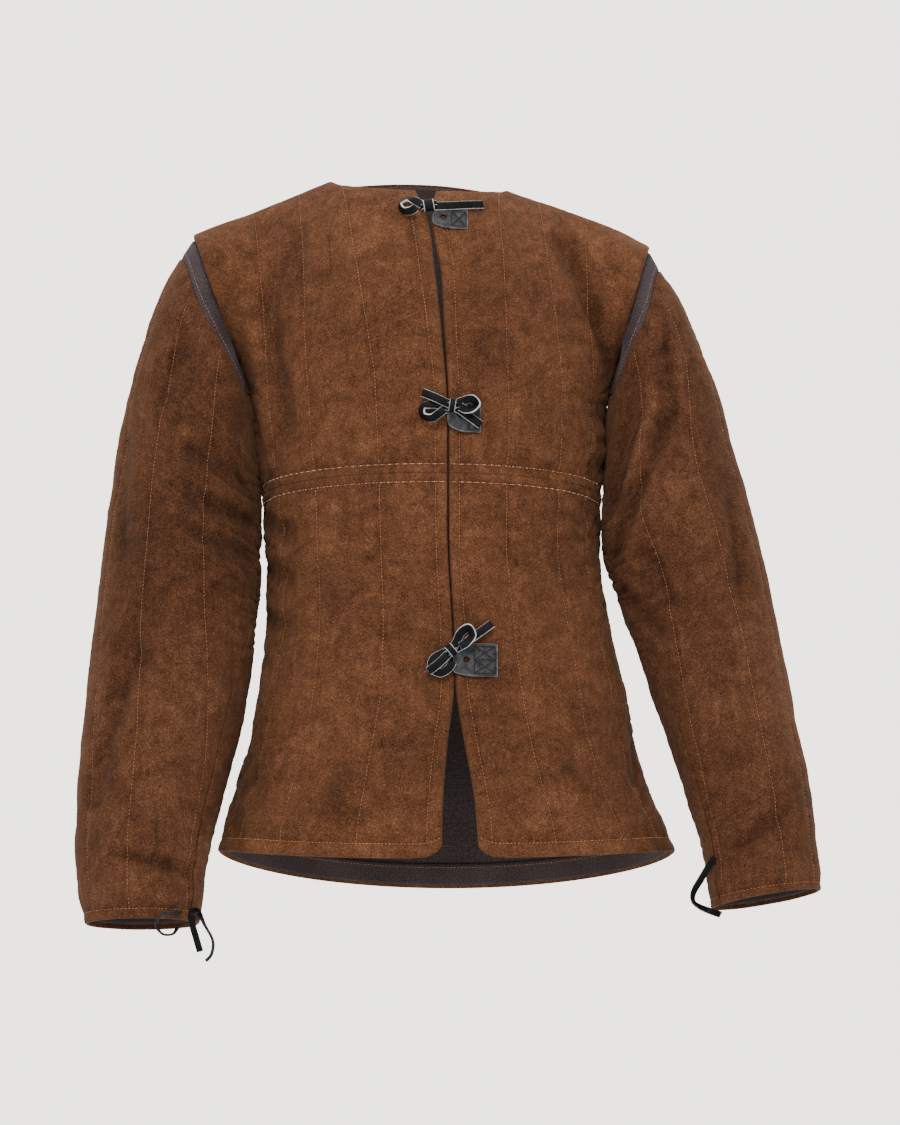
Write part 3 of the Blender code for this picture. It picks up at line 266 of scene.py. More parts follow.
def hemZ(angle):
    # straight at the sides, dropping by the sine of the angle to the middle
    return body["hemSideZ"] - body["hemDrop"] * np.abs(np.sin(angle)) ** 1.6


def overShoulder(low, top, rise, reach):
    # from the chest section up and over to the top edge, along part of an ellipse
    turn = rise * reach
    up = np.sin(turn) / np.sin(reach)
    back = (1 - np.cos(turn)) / (1 - np.cos(reach))
    return low + (top - low) * np.stack((up, back, up), -1)


def topEdge(neckTurn, share, side, neckY, neckZ):
    # the neckline's half ellipse, then the shoulder seam, a shallow sine arch, both tilted
    roundNeck = np.clip(np.sin(neckTurn), 0, 1)
    sideZ = body["neckSideZ"][int(side)]
    neck = np.stack((body["neckMidX"] + body["neckHalf"] * np.cos(neckTurn),
                     neckY * roundNeck,
                     sideZ + (neckZ - sideZ) * roundNeck ** 1.3), -1)
    along = np.clip((share - body["neckShare"]) / (1 - body["neckShare"]), 0, None)
    point = np.array((side * body["shoulderHalf"], 0.0, body["shoulderZ"][int(side)]))
    corner = np.array((body["neckMidX"] + side * body["neckHalf"], 0.0, sideZ))
    edge = np.where(share[..., None] < body["neckShare"], neck,
                    corner + (point - corner) * along[..., None])
    arch = np.sin(math.pi * np.clip(along, 0, 1) ** body["crownSkew"])
    edge[..., 2] += body["shoulderCrown"][int(side)] * arch + body["shoulderTilt"] * edge[..., 0]
    return edge


def armholeBow(share, rise):
    # 1 where the armhole's edge swings furthest, 0 at its ends and away from it
    near = easeIn((share - body["swingStart"]) / (1 - body["swingStart"]))
    return near * np.sin(math.pi * np.clip(rise, 0, 1)) ** 1.3


def shoulderReach(share, start):
    # degrees of the ellipse over the shoulder, more from the neckline outwards
    spread = body["reachShoulder"] - start
    return np.radians(start + spread * easeIn(share / body["neckShare"]))


def frontPlain(side):
    # a front's inner face: share 0 at the opening and 1 at the side, level -1 at the hem,
    # 0 at the waist, 1 at the chest section and 2 at the shoulder and neckline
    edgeName = "left" if side > 0 else "right"
    far = 0.0 if side > 0 else math.pi
    neckY, neckZ = body["neckFrontY"], body["neckFrontZ"]

    def turnAt(share, z):
        middle, half = readTable(torso, "mid", z), readTable(torso, "half", z)
        edge = np.arccos((readTable(opening, edgeName, z) - middle) / half)
        return edge + (far - edge) * share

    def place(share, level):
        share, level = np.broadcast_arrays(share, level)
        down, rise = np.clip(-level, 0, None), np.clip(level, 0, 1)
        drop = (hemZ(turnAt(share, body["waistZ"] + 0 * share)) - body["waistZ"]) * down
        inset = np.clip(1 - share / body["cornerShare"], 0, 1)
        corner = body["cornerHigh"] * (1 - np.sqrt(1 - inset ** 2)) * np.clip(down, 0, 1) ** 8
        z = body["waistZ"] + drop + corner + (body["chestZ"] - body["waistZ"]) * rise
        low = torsoRing(turnAt(share, z), z)
        neckX = readTable(opening, edgeName, neckZ) - body["neckMidX"]
        neckStart = np.arccos(neckX / body["neckHalf"])
        neckTurn = neckStart + (far - neckStart) * np.clip(share / body["neckShare"], None, 1)
        top = topEdge(neckTurn, share, side, neckY, neckZ)
        high = overShoulder(low, top, level - 1, shoulderReach(share, body["reachFront"]))
        edgeTop = topEdge(neckStart + 0 * share, 0 * share, side, neckY, neckZ)
        straight = overShoulder(torsoRing(turnAt(0 * share, z), z), edgeTop, level - 1,
                                shoulderReach(0 * share, body["reachFront"]))
        pull = readTable(opening, edgeName, straight[..., 2]) - straight[..., 0]
        high[..., 0] += pull * np.clip(1 - share, 0, None) ** 4
        high[..., 1] -= body["armholeSwing"] * armholeBow(share, level - 1)
        return np.where((level > 1)[..., None], high, low)

    return place


def backPlain(share, level):
    # the back's inner face: share 0 at the wearer's left side and 1 at the right
    share, level = np.broadcast_arrays(share, level)
    turn = -math.pi * share
    down, rise = np.clip(-level, 0, None), np.clip(level, 0, 1)
    z = (body["waistZ"] + (hemZ(turn) - body["waistZ"]) * down
         + (body["chestZ"] - body["waistZ"]) * rise)
    low = torsoRing(turn, z)
    side = np.where(share < 0.5, 1.0, -1.0)
    half = np.abs(share - 0.5) * 2
    neckTurn = math.pi / 2 - side * (math.pi / 2) * np.clip(half / body["neckShare"], 0, 1)
    left, right = (topEdge(neckTurn, half, sign, body["neckBackY"], body["neckBackZ"])
                   for sign in (1.0, -1.0))
    top = np.where((side > 0)[..., None], left, right)
    high = overShoulder(low, top, level - 1, shoulderReach(half, body["reachBack"]))
    high[..., 1] += body["armholeSwing"] * armholeBow(half, level - 1)
    return np.where((level > 1)[..., None], high, low)


# quilted padding
quilt = {
    "valley": 0.24,            # how much of the padding a line of stitching takes, far out
    "valleyWide": 8 * mm,
    "crease": 0.09,            # and right at the thread
    "creaseWide": 2.0 * mm,
    "rowDeep": 0.7 * mm,       # how deep the cross rows are pressed in
    # at an edge: how wide its rounding is, and the share of the thickness left right at it
    "open": (3.2 * mm, 0.28), "sewn": (2.4 * mm, 0.80),
    "pucker": 0.55 * mm,       # small waves along the stitching
    "puckerLong": 15 * mm, "puckerWide": 7 * mm,
    "puckerPatch": 50 * mm,    # size of their stronger and weaker stretches
    "swell": 1.15 * mm, "swellSize": 42 * mm,      # slow unevenness of the wadding
    "rumple": 0.50 * mm, "rumpleSize": 14 * mm,    # quicker unevenness of the suede
    "foldGain": 1.35,          # main folds, against their tables
    "crinkle": 2.5 * mm,       # depth of the small creases that run across rucked cloth
    "crinkleLong": 38 * mm, "crinkleHigh": 10 * mm, "crinkleWide": 0.16,
    "crinkleLayers": ((1.0, 0.65, 0.35), (0.55, 0.35, -0.30)),    # size, share, lean
    # painted light and shade in the colour: high spots lighter against their surroundings, dips and
    # main folds darker with painted shade
    "reliefPasses": 10, "wear": 0.6, "shadeHigh": 0.6 * mm, "foldShade": 1.6, "foldDeep": 4 * mm,
}
# share of the padding left near a seam or edge, where it starts to grow, and over how far
fades = {
    "waist": (0.42, 7 * mm, 22 * mm), "hem": (0.35, 11 * mm, 22 * mm),
    "cuff": (0.35, 8 * mm, 22 * mm),
    "shoulder": (0.30, 0.0, 0.16), "calm": (0.20, 0.1, 0.3),     # in levels below the shoulder
    "head": (0.25, 0.0, 0.04), "free": (0.15, 0.02, 0.14),       # in runs down the sleeve
}


def fade(kind, distance):
    left, start, over = fades[kind]
    return left + (1 - left) * easeIn((distance - start) / over)


def stitchedDown(away):
    # share of the padding left at this distance from a line of stitching
    left = 1 - quilt["valley"] * np.exp(-away / quilt["valleyWide"])
    return left - quilt["crease"] * bump(away, quilt["creaseWide"])


def crinkles(across, along, seed):
    # small creases: narrow dips along the zero lines of a noise stretched across the cloth
    total = 0
    for size, share, lean in quilt["crinkleLayers"]:
        flat = np.stack((across / quilt["crinkleLong"] / size,
                         (along + lean * across) / quilt["crinkleHigh"] / size,
                         seed + size + 0 * across), -1)
        dip = bump(softNoise(flat, 1.0, seed + size), quilt["crinkleWide"])
        hump = 0.4 * softNoise(flat * 0.7 + 3.1, 1.0, seed + 2)
        total = total + share * (hump - dip)
    return quilt["crinkle"] * total


def puckerAt(away, along, points, seed):
    # waves that run along a seam and fade away from it
    phase = 2.2 * softNoise(points, quilt["puckerLong"] * 2, seed)
    wave = np.sin(2 * math.pi * along / quilt["puckerLong"] + phase)
    strength = 0.55 + 0.45 * softNoise(points, quilt["puckerPatch"], seed + 3)
    return quilt["pucker"] * strength * wave * np.exp(-away / quilt["puckerWide"])


def uneven(points, row, rowAway, alongRow, near, calm, seed):
    # the pressed row with its puckers, the slow wadding and the quick suede
    pressed = quilt["rowDeep"] * bump(row, quilt["creaseWide"])
    swell = quilt["swell"] * softNoise(points, quilt["swellSize"], seed) * near
    rumple = quilt["rumple"] * softNoise(points, quilt["rumpleSize"], seed + 1)
    return (swell + rumple) * calm + puckerAt(rowAway, alongRow, points, seed + 9) - pressed


def edgeRound(pad, toEdge, kind):
    # quarter round down to a thinner edge
    wide, left = quilt[kind]
    t = np.clip(toEdge / wide, 0, 1)
    return pad * (left + (1 - left) * np.sqrt(1 - (1 - t) ** 2))


def bodyPad(share, level, points, lines, turn, seed, opened):
    # thickness of the body's wall: quilting, cross seams, creases and rounded edges
    chest, skirt = body["chestZ"] - body["waistZ"], body["waistZ"] - hemZ(turn)
    height = level * np.where(level > 0, chest, skirt)
    width, degrees, z = body["panelWidth"], np.degrees(turn), points[..., 2]
    away = np.abs(share[..., None] - np.array(lines)).min(axis=-1) * width
    rows = [np.abs(height - row * (chest if row > 0 else body["skirtHigh"]))
            for row in body["waistLevels"]]
    row = np.minimum.reduce([*rows, np.abs(level - body["hemLevel"]) * skirt])
    nearWaist, calm = fade("waist", np.abs(height)), fade("calm", 2 - level)
    nearHem = np.where(level < 0, fade("hem", (level + 1) * skirt), 1.0)
    pad = (body["padding"] - body["pressed"]) * (1 - (1 - stitchedDown(away)) * calm)
    pad *= nearWaist * nearHem * fade("shoulder", 2 - level)
    pad += puckerAt(away, height, points, seed) * calm
    pad += uneven(points, row, np.minimum(row, np.abs(height)), share * width, nearWaist, calm,
                  seed)
    pad += foldDepth(bodyCreases, degrees, z, body["arc"], 1.0)
    pad += crinkles(turn * body["arc"], z, seed) * bodyRuck(degrees, z)
    pad = np.maximum(body["pressed"] + pad, body["thinnest"])
    toSide, toTop = (1 - share) * width, (2 - level) * body["topHigh"]
    atNeck = share <= body["neckShare"]
    sewn = np.minimum(np.abs(height), np.where(level < 1, toSide, 1.0))
    pad = edgeRound(pad, np.minimum(sewn, np.where(atNeck, 1.0, toTop)), "sewn")
    free = np.minimum(np.where(atNeck, toTop, 1.0), np.where(level < 0, (level + 1) * skirt, 1.0))
    free = np.minimum(free, np.where(level < 1, 1.0, toSide))
    return edgeRound(pad, np.minimum(free, share * width if opened else 1.0), "open")


# how rucked the cloth is, as bell curves: middle, half width, height
rucks = {
    "bodyLeast": 0.24, "bodySide": 26,      # degrees either way from the side seams
    "bodyZ": ((-0.34, 0.11, 1.0), (-0.58, 0.07, 0.55), (-0.19, 0.05, 0.5)),
    "sleeveLeast": 0.16, "sleeveSide": (172, 62),
    "elbow": ((0.34, 0.20, 1.0), (0.86, 0.10, 0.45)), "head": ((0.10, 0.09, 0.35),),
}


def humps(at, table):
    return sum(high * bump(at - middle, wide) for middle, wide, high in table)


def bodyRuck(degrees, z):
    # most at the sides above and below the waist, some near the hem
    side = bump(np.mod(degrees + 90, 180) - 90, rucks["bodySide"])
    return np.clip(rucks["bodyLeast"] + side * humps(z, rucks["bodyZ"]), 0, 1)


def wallFinder(wall, padOf=lambda u, v, points: 0 * u):
    # inner face: the plain surface moved by its folds; outer face: the padding on top of it
    plain, inside, turnOf, folds, arc = wall

    def find(u, v):
        u, v = np.broadcast_arrays(np.asarray(u, float), np.asarray(v, float))
        step = 2e-4
        across = plain(u + step, v) - plain(u - step, v)
        along = plain(u, v + step) - plain(u, v - step)
        normal = unit(np.cross(across, along))
        points = plain(u, v)
        if np.sum(normal * (points - inside(points, v))) < 0:
            normal = -normal
        alongFold, length = (points[..., 2], 1.0) if arc == body["arc"] else (v, sleeve["length"])
        fold = quilt["foldGain"] * foldDepth(folds, turnOf(u, v), alongFold, arc, length)
        inner = points + normal * fold[..., None]
        return inner, inner + normal * padOf(u, v, points)[..., None], normal, fold

    return find


def liningFaces(wall, u, v, gap):
    # just inside the padded wall, following its deeper folds
    _, _, normal, fold = wallFinder(wall)(u, v)
    outer = wall[0](u, v) + normal * (np.minimum(fold, 0)[..., None] - gap)
    return outer, outer - normal * body["liningThick"]


def torsoInside(points, level):
    return points * (0, 0, 1) - (0, 0, 0.03)


def bodyWall(plain, turnOf):
    return plain, torsoInside, turnOf, bodyFolds, body["arc"]


def frontWall(side):
    return bodyWall(frontPlain(side),
                    lambda share, level: 90 * (1 - share) + (0 if side > 0 else 180) * share)


def frontFinder(side):
    wall = frontWall(side)

    def padOf(share, level, points):
        pad = bodyPad(share, level, points, body["frontLines"][1:-1],
                      np.radians(wall[2](share, level)), 3 + side, True)
        if side > 0:
            low, high = body["joinShares"]
            near = bump((level - body["joinLevel"]) * body["skirtHigh"], body["joinWide"])
            pad -= body["joinDeep"] * near * ((share > low) & (share < high))
        return pad

    return wallFinder(wall, padOf)


backWall = bodyWall(backPlain, lambda share, level: 360 - 180 * share)


def backPad(share, level, points):
    return bodyPad(np.abs(share - 0.5) * 2, level, points, body["backLines"][:-1],
                   np.radians(backWall[2](share, level)), 8, False)


# meshes

def laidOut(stops, length, cell, close=(0.5 * mm, 1.1 * mm, 2.1 * mm)):
    # positions between the stops, even cells with a few close ones at each side of every stop
    found = []
    for low, high in zip(stops, stops[1:]):
        gap = (high - low) * length
        count = max(2, int(round(gap / cell)))
        even = np.linspace(low, high, count + 1)
        near = np.array([c for c in close if c < gap / 3]) / length
        even = even[(even > low + near[-1] * 1.4) & (even < high - near[-1] * 1.4)]
        found += [low, *(low + near), *even, *(high - near[::-1])]
    return np.array([*found, stops[-1]])


def finishMesh(name, points, faces, materials, uv=None, reliefShade=None, faceKinds=None):
    # one object with its faces turned outwards, its own cloth coordinates and relief values, which
    # paint light and shade into the suede's colour
    mesh = bpy.data.meshes.new(name)
    mesh.from_pydata(points.tolist(), [], faces)
    if faceKinds is not None:
        mesh.polygons.foreach_set("material_index", np.asarray(faceKinds, dtype=np.int32))
    work = bmesh.new()
    work.from_mesh(mesh)
    bmesh.ops.recalc_face_normals(work, faces=work.faces)
    work.to_mesh(mesh)
    work.free()
    mesh.shade_smooth()
    if uv is not None:
        corners = np.empty(len(mesh.loops), dtype=np.int32)
        mesh.loops.foreach_get("vertex_index", corners)
        layer = mesh.uv_layers.new(name="cloth")
        layer.data.foreach_set("uv", uv[corners].astype(np.float32).ravel())
    # the relief values are painted light and shade, read by the suede's colour
    if reliefShade is not None:
        layer = mesh.attributes.new("reliefShade", "FLOAT", "POINT")
        layer.data.foreach_set("value", reliefShade.astype(np.float32))
    for material in materials:
        mesh.materials.append(material)
    return linked(name, mesh)


def gridIds(grid, first=0, closed=False):
    # numbers of a grid's points; a closed one meets its first row again
    ids = first + np.arange(grid.shape[0] * grid.shape[1]).reshape(grid.shape[:2])
    return np.concatenate((ids, ids[:1])) if closed else ids


def cellsOf(ids):
    a, b, c, d = ids[:-1, :-1], ids[1:, :-1], ids[1:, 1:], ids[:-1, 1:]
    return np.stack((a, b, c, d), -1).reshape(-1, 4)


def clothUv(outer, u, v):
    # distances across the unrolled cloth, from the grid's mean length each way
    spans = [np.linalg.norm(np.diff(outer, axis=k), axis=-1).sum(axis=k).mean() for k in (0, 1)]
    grids = np.meshgrid(*[(w - w[0]) / (w[-1] - w[0]) * span for w, span in zip((u, v), spans)],
                        indexing="ij")
    return np.stack(grids, -1)


def wallMesh(name, outer, inner, u, v, material, reliefShade=None, keep=4):
    # a closed wall: fine outer grid, thinner inner grid, one rim face for each inner cell
    pickU, pickV = (np.unique(np.append(np.arange(0, len(w), keep), len(w) - 1)) for w in (u, v))
    thin = inner[np.ix_(pickU, pickV)]
    outerIds = gridIds(outer)
    innerIds = gridIds(thin, outerIds.size)
    faces = cellsOf(outerIds).tolist() + cellsOf(innerIds)[:, ::-1].tolist()
    for side in (0, -1):
        for k, (a, b) in enumerate(zip(pickU, pickU[1:])):
            faces.append([*outerIds[a:b + 1, side], innerIds[k + 1, side], innerIds[k, side]])
        for k, (a, b) in enumerate(zip(pickV, pickV[1:])):
            faces.append([*outerIds[side, a:b + 1], innerIds[side, k + 1], innerIds[side, k]])
    faces = [[int(i) for i in face] for face in faces]
    cloth = clothUv(outer, u, v)
    uv = np.concatenate((cloth.reshape(-1, 2), cloth[np.ix_(pickU, pickV)].reshape(-1, 2)))
    # relief values (painted light and shade) on the outer grid only, none on the inner one
    if reliefShade is not None:
        reliefShade = np.concatenate((reliefShade.ravel(), np.zeros(thin.shape[0] * thin.shape[1])))
    return finishMesh(name, np.concatenate((outer.reshape(-1, 3), thin.reshape(-1, 3))), faces,
                      [material], uv, reliefShade)


def loopWall(name, outer, inner, material):
    # a closed wall round a hollow from two grids that meet themselves
    outerIds = gridIds(outer, closed=True)
    innerIds = gridIds(outer, outer.shape[0] * outer.shape[1], closed=True)
    faces = cellsOf(outerIds).tolist() + cellsOf(innerIds)[:, ::-1].tolist()
    for side in (0, -1):
        faces += cellsOf(np.stack((outerIds[:, side], innerIds[:, side]), -1)).tolist()
    cloth = clothUv(outer, *(np.arange(n) for n in outer.shape[:2])).reshape(-1, 2)
    return finishMesh(name, np.concatenate((outer.reshape(-1, 3), inner.reshape(-1, 3))), faces,
                      [material], np.concatenate((cloth, cloth)))


def reliefShadeOf(outer, inner, fold):
    # painted light and shade: lighter where the cloth stands above its neighbourhood, darker
    # (painted shade) where it lies deep in a main fold
    pad = np.linalg.norm(outer - inner, axis=-1)
    wide = pad.copy()
    for _ in range(quilt["reliefPasses"]):
        wide[1:-1] = (wide[:-2] + wide[2:]) / 2
        wide[:, 1:-1] = (wide[:, :-2] + wide[:, 2:]) / 2
    # painted light on high spots and painted shade in dips, then painted shade in the main folds
    near = quilt["wear"] * np.clip((pad - wide) / quilt["shadeHigh"], -1, 1)
    return near + quilt["foldShade"] * np.clip(fold / quilt["foldDeep"], -1, 0.5)


# stitching: pitch, and each stitch's length, width, height and how far it sinks in
stitchKinds = {
    "line": {"pitch": 3.7 * mm, "long": 2.9 * mm, "wide": 0.62 * mm, "high": 0.42 * mm,
             "sink": 0.10 * mm},
    "dot": {"pitch": 7.4 * mm, "long": 1.1 * mm, "wide": 0.95 * mm, "high": 0.8 * mm,
            "sink": 0.15 * mm},
    "tab": {"pitch": 2.7 * mm, "long": 2.6 * mm, "wide": 1.9 * mm, "high": 1.3 * mm,
            "sink": 0.10 * mm},
}


def stitchesAlong(points, normals, kind="line"):
    # rows of short tapered stitches: a four-sided profile at three places along each stitch
    look = stitchKinds[kind]
    steps = np.linalg.norm(np.diff(points, axis=0), axis=-1)
    run = np.concatenate(((0.0,), np.cumsum(steps)))
    count = max(1, int(run[-1] / look["pitch"]))
    middles = (np.arange(count) + 0.5) * run[-1] / count
    ends = np.stack((middles - look["long"] / 2, middles, middles + look["long"] / 2), 1)
    at, out = (np.stack([np.interp(ends, run, values[:, k]) for k in range(3)], -1)
               for values in (points, normals))
    out, ahead = unit(out), unit(at[:, 2:] - at[:, :1])
    beside = np.cross(np.broadcast_to(ahead, out.shape), out)
    taper = np.array((0.35, 1.0, 0.35))[None, :, None, None]
    raised = np.array((-0.2, 0.35, -0.2))[None, :, None] * mm
    profile = np.array(((1, 0), (0, 1), (-1, 0), (0, -1))) * (look["wide"] / 2, look["high"] / 2)
    at = at + out * (raised + look["sink"])
    ring = (beside[:, :, None] * profile[None, None, :, :1]
            + out[:, :, None] * profile[None, None, :, 1:]) * taper
    corners = (at[:, :, None] + ring).reshape(-1, 3)
    ids = np.arange(12).reshape(3, 4)
    ids = np.concatenate((ids, ids[:, :1]), axis=1)
    one = np.concatenate((cellsOf(ids), (np.arange(4)[::-1],), (np.arange(8, 12),)))
    faces = (np.arange(count) * 12)[:, None, None] + one
    return corners, faces.reshape(-1, 4)


def threadMesh(name, rows, material):
    # all the rows of one panel in one mesh
    starts = np.cumsum([0] + [len(corners) for corners, _ in rows])
    faces = np.concatenate([cells + start for (_, cells), start in zip(rows, starts)])
    points = np.concatenate([corners for corners, _ in rows])
    dress(finishMesh(name, points, faces.tolist(), [material]), [])


def stitchOn(find, share, level, kind="line"):
    _, outer, normal, _ = find(share, level)
    return stitchesAlong(outer, normal, kind)


# materials: a tree's helpers first

def newMaterial(name, values):
    material = bpy.data.materials.new(name)
    material.use_nodes = True
    tree = material.node_tree
    shader = tree.nodes["Principled BSDF"]
    for key, value in values.items():
        shader.inputs[key].default_value = value
    return material, tree, shader


def addNode(tree, kind, values=(), wires=(), **settings):
    node = tree.nodes.new(kind)
    for key, value in settings.items():
        setattr(node, key, value)
    for key, value in dict(values).items():
        node.inputs[key].default_value = value
    for key, socket in dict(wires).items():
        tree.links.new(socket, node.inputs[key])
    return node


def objectPlace(tree):
    return addNode(tree, "ShaderNodeTexCoord").outputs["Object"]


def addNoise(tree, where, scale, detail, warp=0.0, rough=0.5):
    return addNode(tree, "ShaderNodeTexNoise", {"Scale": scale, "Detail": detail,
                                                "Distortion": warp, "Roughness": rough},
                   {"Vector": where}).outputs["Fac"]


def addBump(tree, height, strength, distance, **wires):
    return addNode(tree, "ShaderNodeBump", {"Strength": strength, "Distance": distance},
                   {"Height": height, **wires}).outputs["Normal"]


def weighted(tree, less, *pairs):
    # sum of sockets times weights, less a number, by a chain of multiply-add nodes
    total = None
    for socket, weight in pairs:
        node = addNode(tree, "ShaderNodeMath", {1: weight, 2: -less}, {0: socket},
                       operation="MULTIPLY_ADD")
        if total is not None:
            tree.links.new(total, node.inputs[2])
        total = node.outputs[0]
    return total


def colourBy(tree, shader, tone, places, colours):
    # base colour by a ramp
    node = addNode(tree, "ShaderNodeValToRGB", wires={0: tone})
    ramp = node.color_ramp
    while len(ramp.elements) < len(places):
        ramp.elements.new(0.5)
    for element, place, colour in zip(ramp.elements, places, colours):
        element.position, element.color = place, (*colour, 1.0)
    tree.links.new(node.outputs["Color"], shader.inputs["Base Color"])


def makeGroup(name, build):
    # a node group whose outputs are the values, masks or normal that build returns by name
    group = bpy.data.node_groups.new(name, "ShaderNodeTree")
    found = build(group)
    for key in found:
        kind = "NodeSocketVector" if key == "Normal" else "NodeSocketFloat"
        group.interface.new_socket(key, in_out="OUTPUT", socket_type=kind)
    addNode(group, "NodeGroupOutput", wires=found)
    return group


suede = {
    # noise: scale in waves a metre, detail, warp, weight in the tone
    "noises": {"slow": (6.0, 3.0, 0.6, 0.42), "patch": (17.0, 3.0, 2.8, 0.48),
               "cloud": (64.0, 2.5, 2.2, 0.30), "nap": (760.0, 1.5, 0.0, 1.15)},
    "rough": 0.64,
    # the relief weight sets how much painted light and shade goes into the tone
    "streakScale": (150.0, 150.0, 26.0), "streak": 0.20, "reliefShade": 0.080,
    "shift": 0.775,              # taken off the weighted sum to centre it on the ramp
    "creaseScale": 120.0, "creaseBump": (0.40, 1.8 * mm), "napBump": (0.55, 0.7 * mm),
    "shader": {"Roughness": 0.95, "Specular IOR Level": 0.12, "Sheen Weight": 0.10,
               "Sheen Roughness": 0.55, "Sheen Tint": (0.62, 0.36, 0.22, 1.0)},
    "places": (0.20, 0.40, 0.60, 0.92),
    "colours": {
        "bodySuede": ((0.0225, 0.0082, 0.0036), (0.0560, 0.0208, 0.0090),
                      (0.0930, 0.0360, 0.0160), (0.190, 0.086, 0.044)),
        # the sleeves' ramp, darker than the body's throughout
        "sleeveSuede": ((0.0170, 0.0063, 0.0029), (0.0450, 0.0168, 0.0075),
                        (0.0775, 0.0302, 0.0138), (0.155, 0.071, 0.039)),
    },
}


def suedeSurface(group):
    # tone: slow, patchy and cloudy noise, fine nap, brushed streaks and painted light and shade
    # from the cloth's relief;
    # normal: small creases with the nap over them
    where = objectPlace(group)
    parts = []
    for scale, detail, warp, weight in suede["noises"].values():
        parts.append((addNoise(group, where, scale, detail, warp, suede["rough"]), weight))
    nap = parts[-1][0]
    stretch = addNode(group, "ShaderNodeMapping", {"Scale": suede["streakScale"]},
                      {"Vector": where})
    parts.append((addNoise(group, stretch.outputs[0], 1.0, 3.0, 0.4), suede["streak"]))
    # painted light and shade from the cloth's relief, read from the mesh
    reliefShade = addNode(group, "ShaderNodeAttribute", attribute_name="reliefShade").outputs["Fac"]
    parts.append((reliefShade, suede["reliefShade"]))
    crease = addBump(group, addNoise(group, where, suede["creaseScale"], 4.0),
                     *suede["creaseBump"])
    return {"Tone": weighted(group, suede["shift"], *parts),
            "Normal": addBump(group, nap, *suede["napBump"], Normal=crease)}


def makeSuede(name, group):
    material, tree, shader = newMaterial(name, suede["shader"])
    surface = addNode(tree, "ShaderNodeGroup", node_tree=group).outputs
    colourBy(tree, shader, surface["Tone"], suede["places"], suede["colours"][name])
    tree.links.new(surface["Normal"], shader.inputs["Normal"])
    return material


canvas = {
    "flecks": 620.0, "patches": 22.0,                       # waves a metre
    "yarns": {"Scale": 210.0, "Distortion": 1.2, "Detail": 1.0, "Detail Scale": 60.0},
    "fleckWeight": 0.95, "yarnWeight": 0.25, "patchWeight": 0.35, "shift": 0.26,
    "bump": (0.35, 0.5 * mm),
    "shader": {"Roughness": 0.88, "Specular IOR Level": 0.2},
    "places": (0.20, 0.48, 0.82),
    "colours": {
        "bandCanvas": ((0.0140, 0.0102, 0.0118), (0.040, 0.0300, 0.0335), (0.115, 0.092, 0.098)),
        "liningCanvas": ((0.018, 0.0125, 0.0130), (0.046, 0.034, 0.0345), (0.100, 0.078, 0.078)),
    },
}


def canvasWeave(group):
    # canvas weave from cloth coordinates in metres: two crossed waves, uneven yarn, flecks
    cloth = addNode(group, "ShaderNodeUVMap", uv_map="cloth").outputs["UV"]
    waves = [addNode(group, "ShaderNodeTexWave", canvas["yarns"], {"Vector": cloth},
                     wave_type="BANDS", bands_direction=direction).outputs["Fac"]
             for direction in ("X", "Y")]
    both = addNode(group, "ShaderNodeMath", wires=dict(enumerate(waves)), operation="MULTIPLY")
    return {"Height": both.outputs[0],
            "Fleck": addNoise(group, cloth, canvas["flecks"], 2.0, rough=0.7)}


def makeCanvas(name, group):
    material, tree, shader = newMaterial(name, canvas["shader"])
    weave = addNode(tree, "ShaderNodeGroup", node_tree=group).outputs
    patch = addNoise(tree, objectPlace(tree), canvas["patches"], 4.0)
    tone = weighted(tree, canvas["shift"], (weave["Fleck"], canvas["fleckWeight"]),
                    (weave["Height"], canvas["yarnWeight"]), (patch, canvas["patchWeight"]))
    colourBy(tree, shader, tone, canvas["places"], canvas["colours"][name])
    tree.links.new(addBump(tree, weave["Height"], *canvas["bump"]), shader.inputs["Normal"])
    return material


leather = {
    "pores": 900.0, "wear": 160.0,                           # waves a metre
    "bumpDeep": 0.4 * mm, "places": (0.34, 0.70),
    # name: dark and light colour, roughness, specular, bump
    "looks": {
        "tabLeather": ((0.0060, 0.0063, 0.0075), (0.048, 0.052, 0.060), 0.55, 0.22, 0.60),
        "thongLeather": ((0.0012, 0.0012, 0.0014), (0.0050, 0.0050, 0.0056), 0.55, 0.10, 0.25),
        "cutEdge": ((0.220, 0.235, 0.260), (0.560, 0.590, 0.630), 0.80, 0.2, 0.30),
        "tabEdge": ((0.030, 0.032, 0.036), (0.210, 0.220, 0.240), 0.80, 0.2, 0.30),
        "laceEdge": ((0.0030, 0.0030, 0.0034), (0.050, 0.053, 0.060), 0.75, 0.1, 0.30),
    },
}


def leatherGrain(group):
    # leather grain: small cells with softer pores between them, and slow wear
    where = objectPlace(group)
    cells = addNode(group, "ShaderNodeTexVoronoi", {"Scale": leather["pores"]},
                    {"Vector": where}, feature="F1")
    return {"Height": cells.outputs["Distance"],
            "Wear": addNoise(group, where, leather["wear"], 5.0, rough=0.65)}


def makeLeather(name, group):
    *colours, rough, specular, bump = leather["looks"][name]
    material, tree, shader = newMaterial(name, {"Roughness": rough,
                                                "Specular IOR Level": specular})
    grain = addNode(tree, "ShaderNodeGroup", node_tree=group).outputs
    colourBy(tree, shader, grain["Wear"], leather["places"], colours)
    tree.links.new(addBump(tree, grain["Height"], bump, leather["bumpDeep"]),
                   shader.inputs["Normal"])
    return material


threadLook = {
    "flecks": 260.0, "places": (0.35, 0.68), "shader": {"Roughness": 0.7},
    "gains": (0.55, 1.5),      # its darkest and lightest against its colour, along the twist
    "colours": {"tanThread": (0.34, 0.135, 0.062), "rowThread": (0.46, 0.205, 0.085),
                "paleThread": (0.72, 0.62, 0.50), "blackThread": (0.0012, 0.0012, 0.0014)},
}


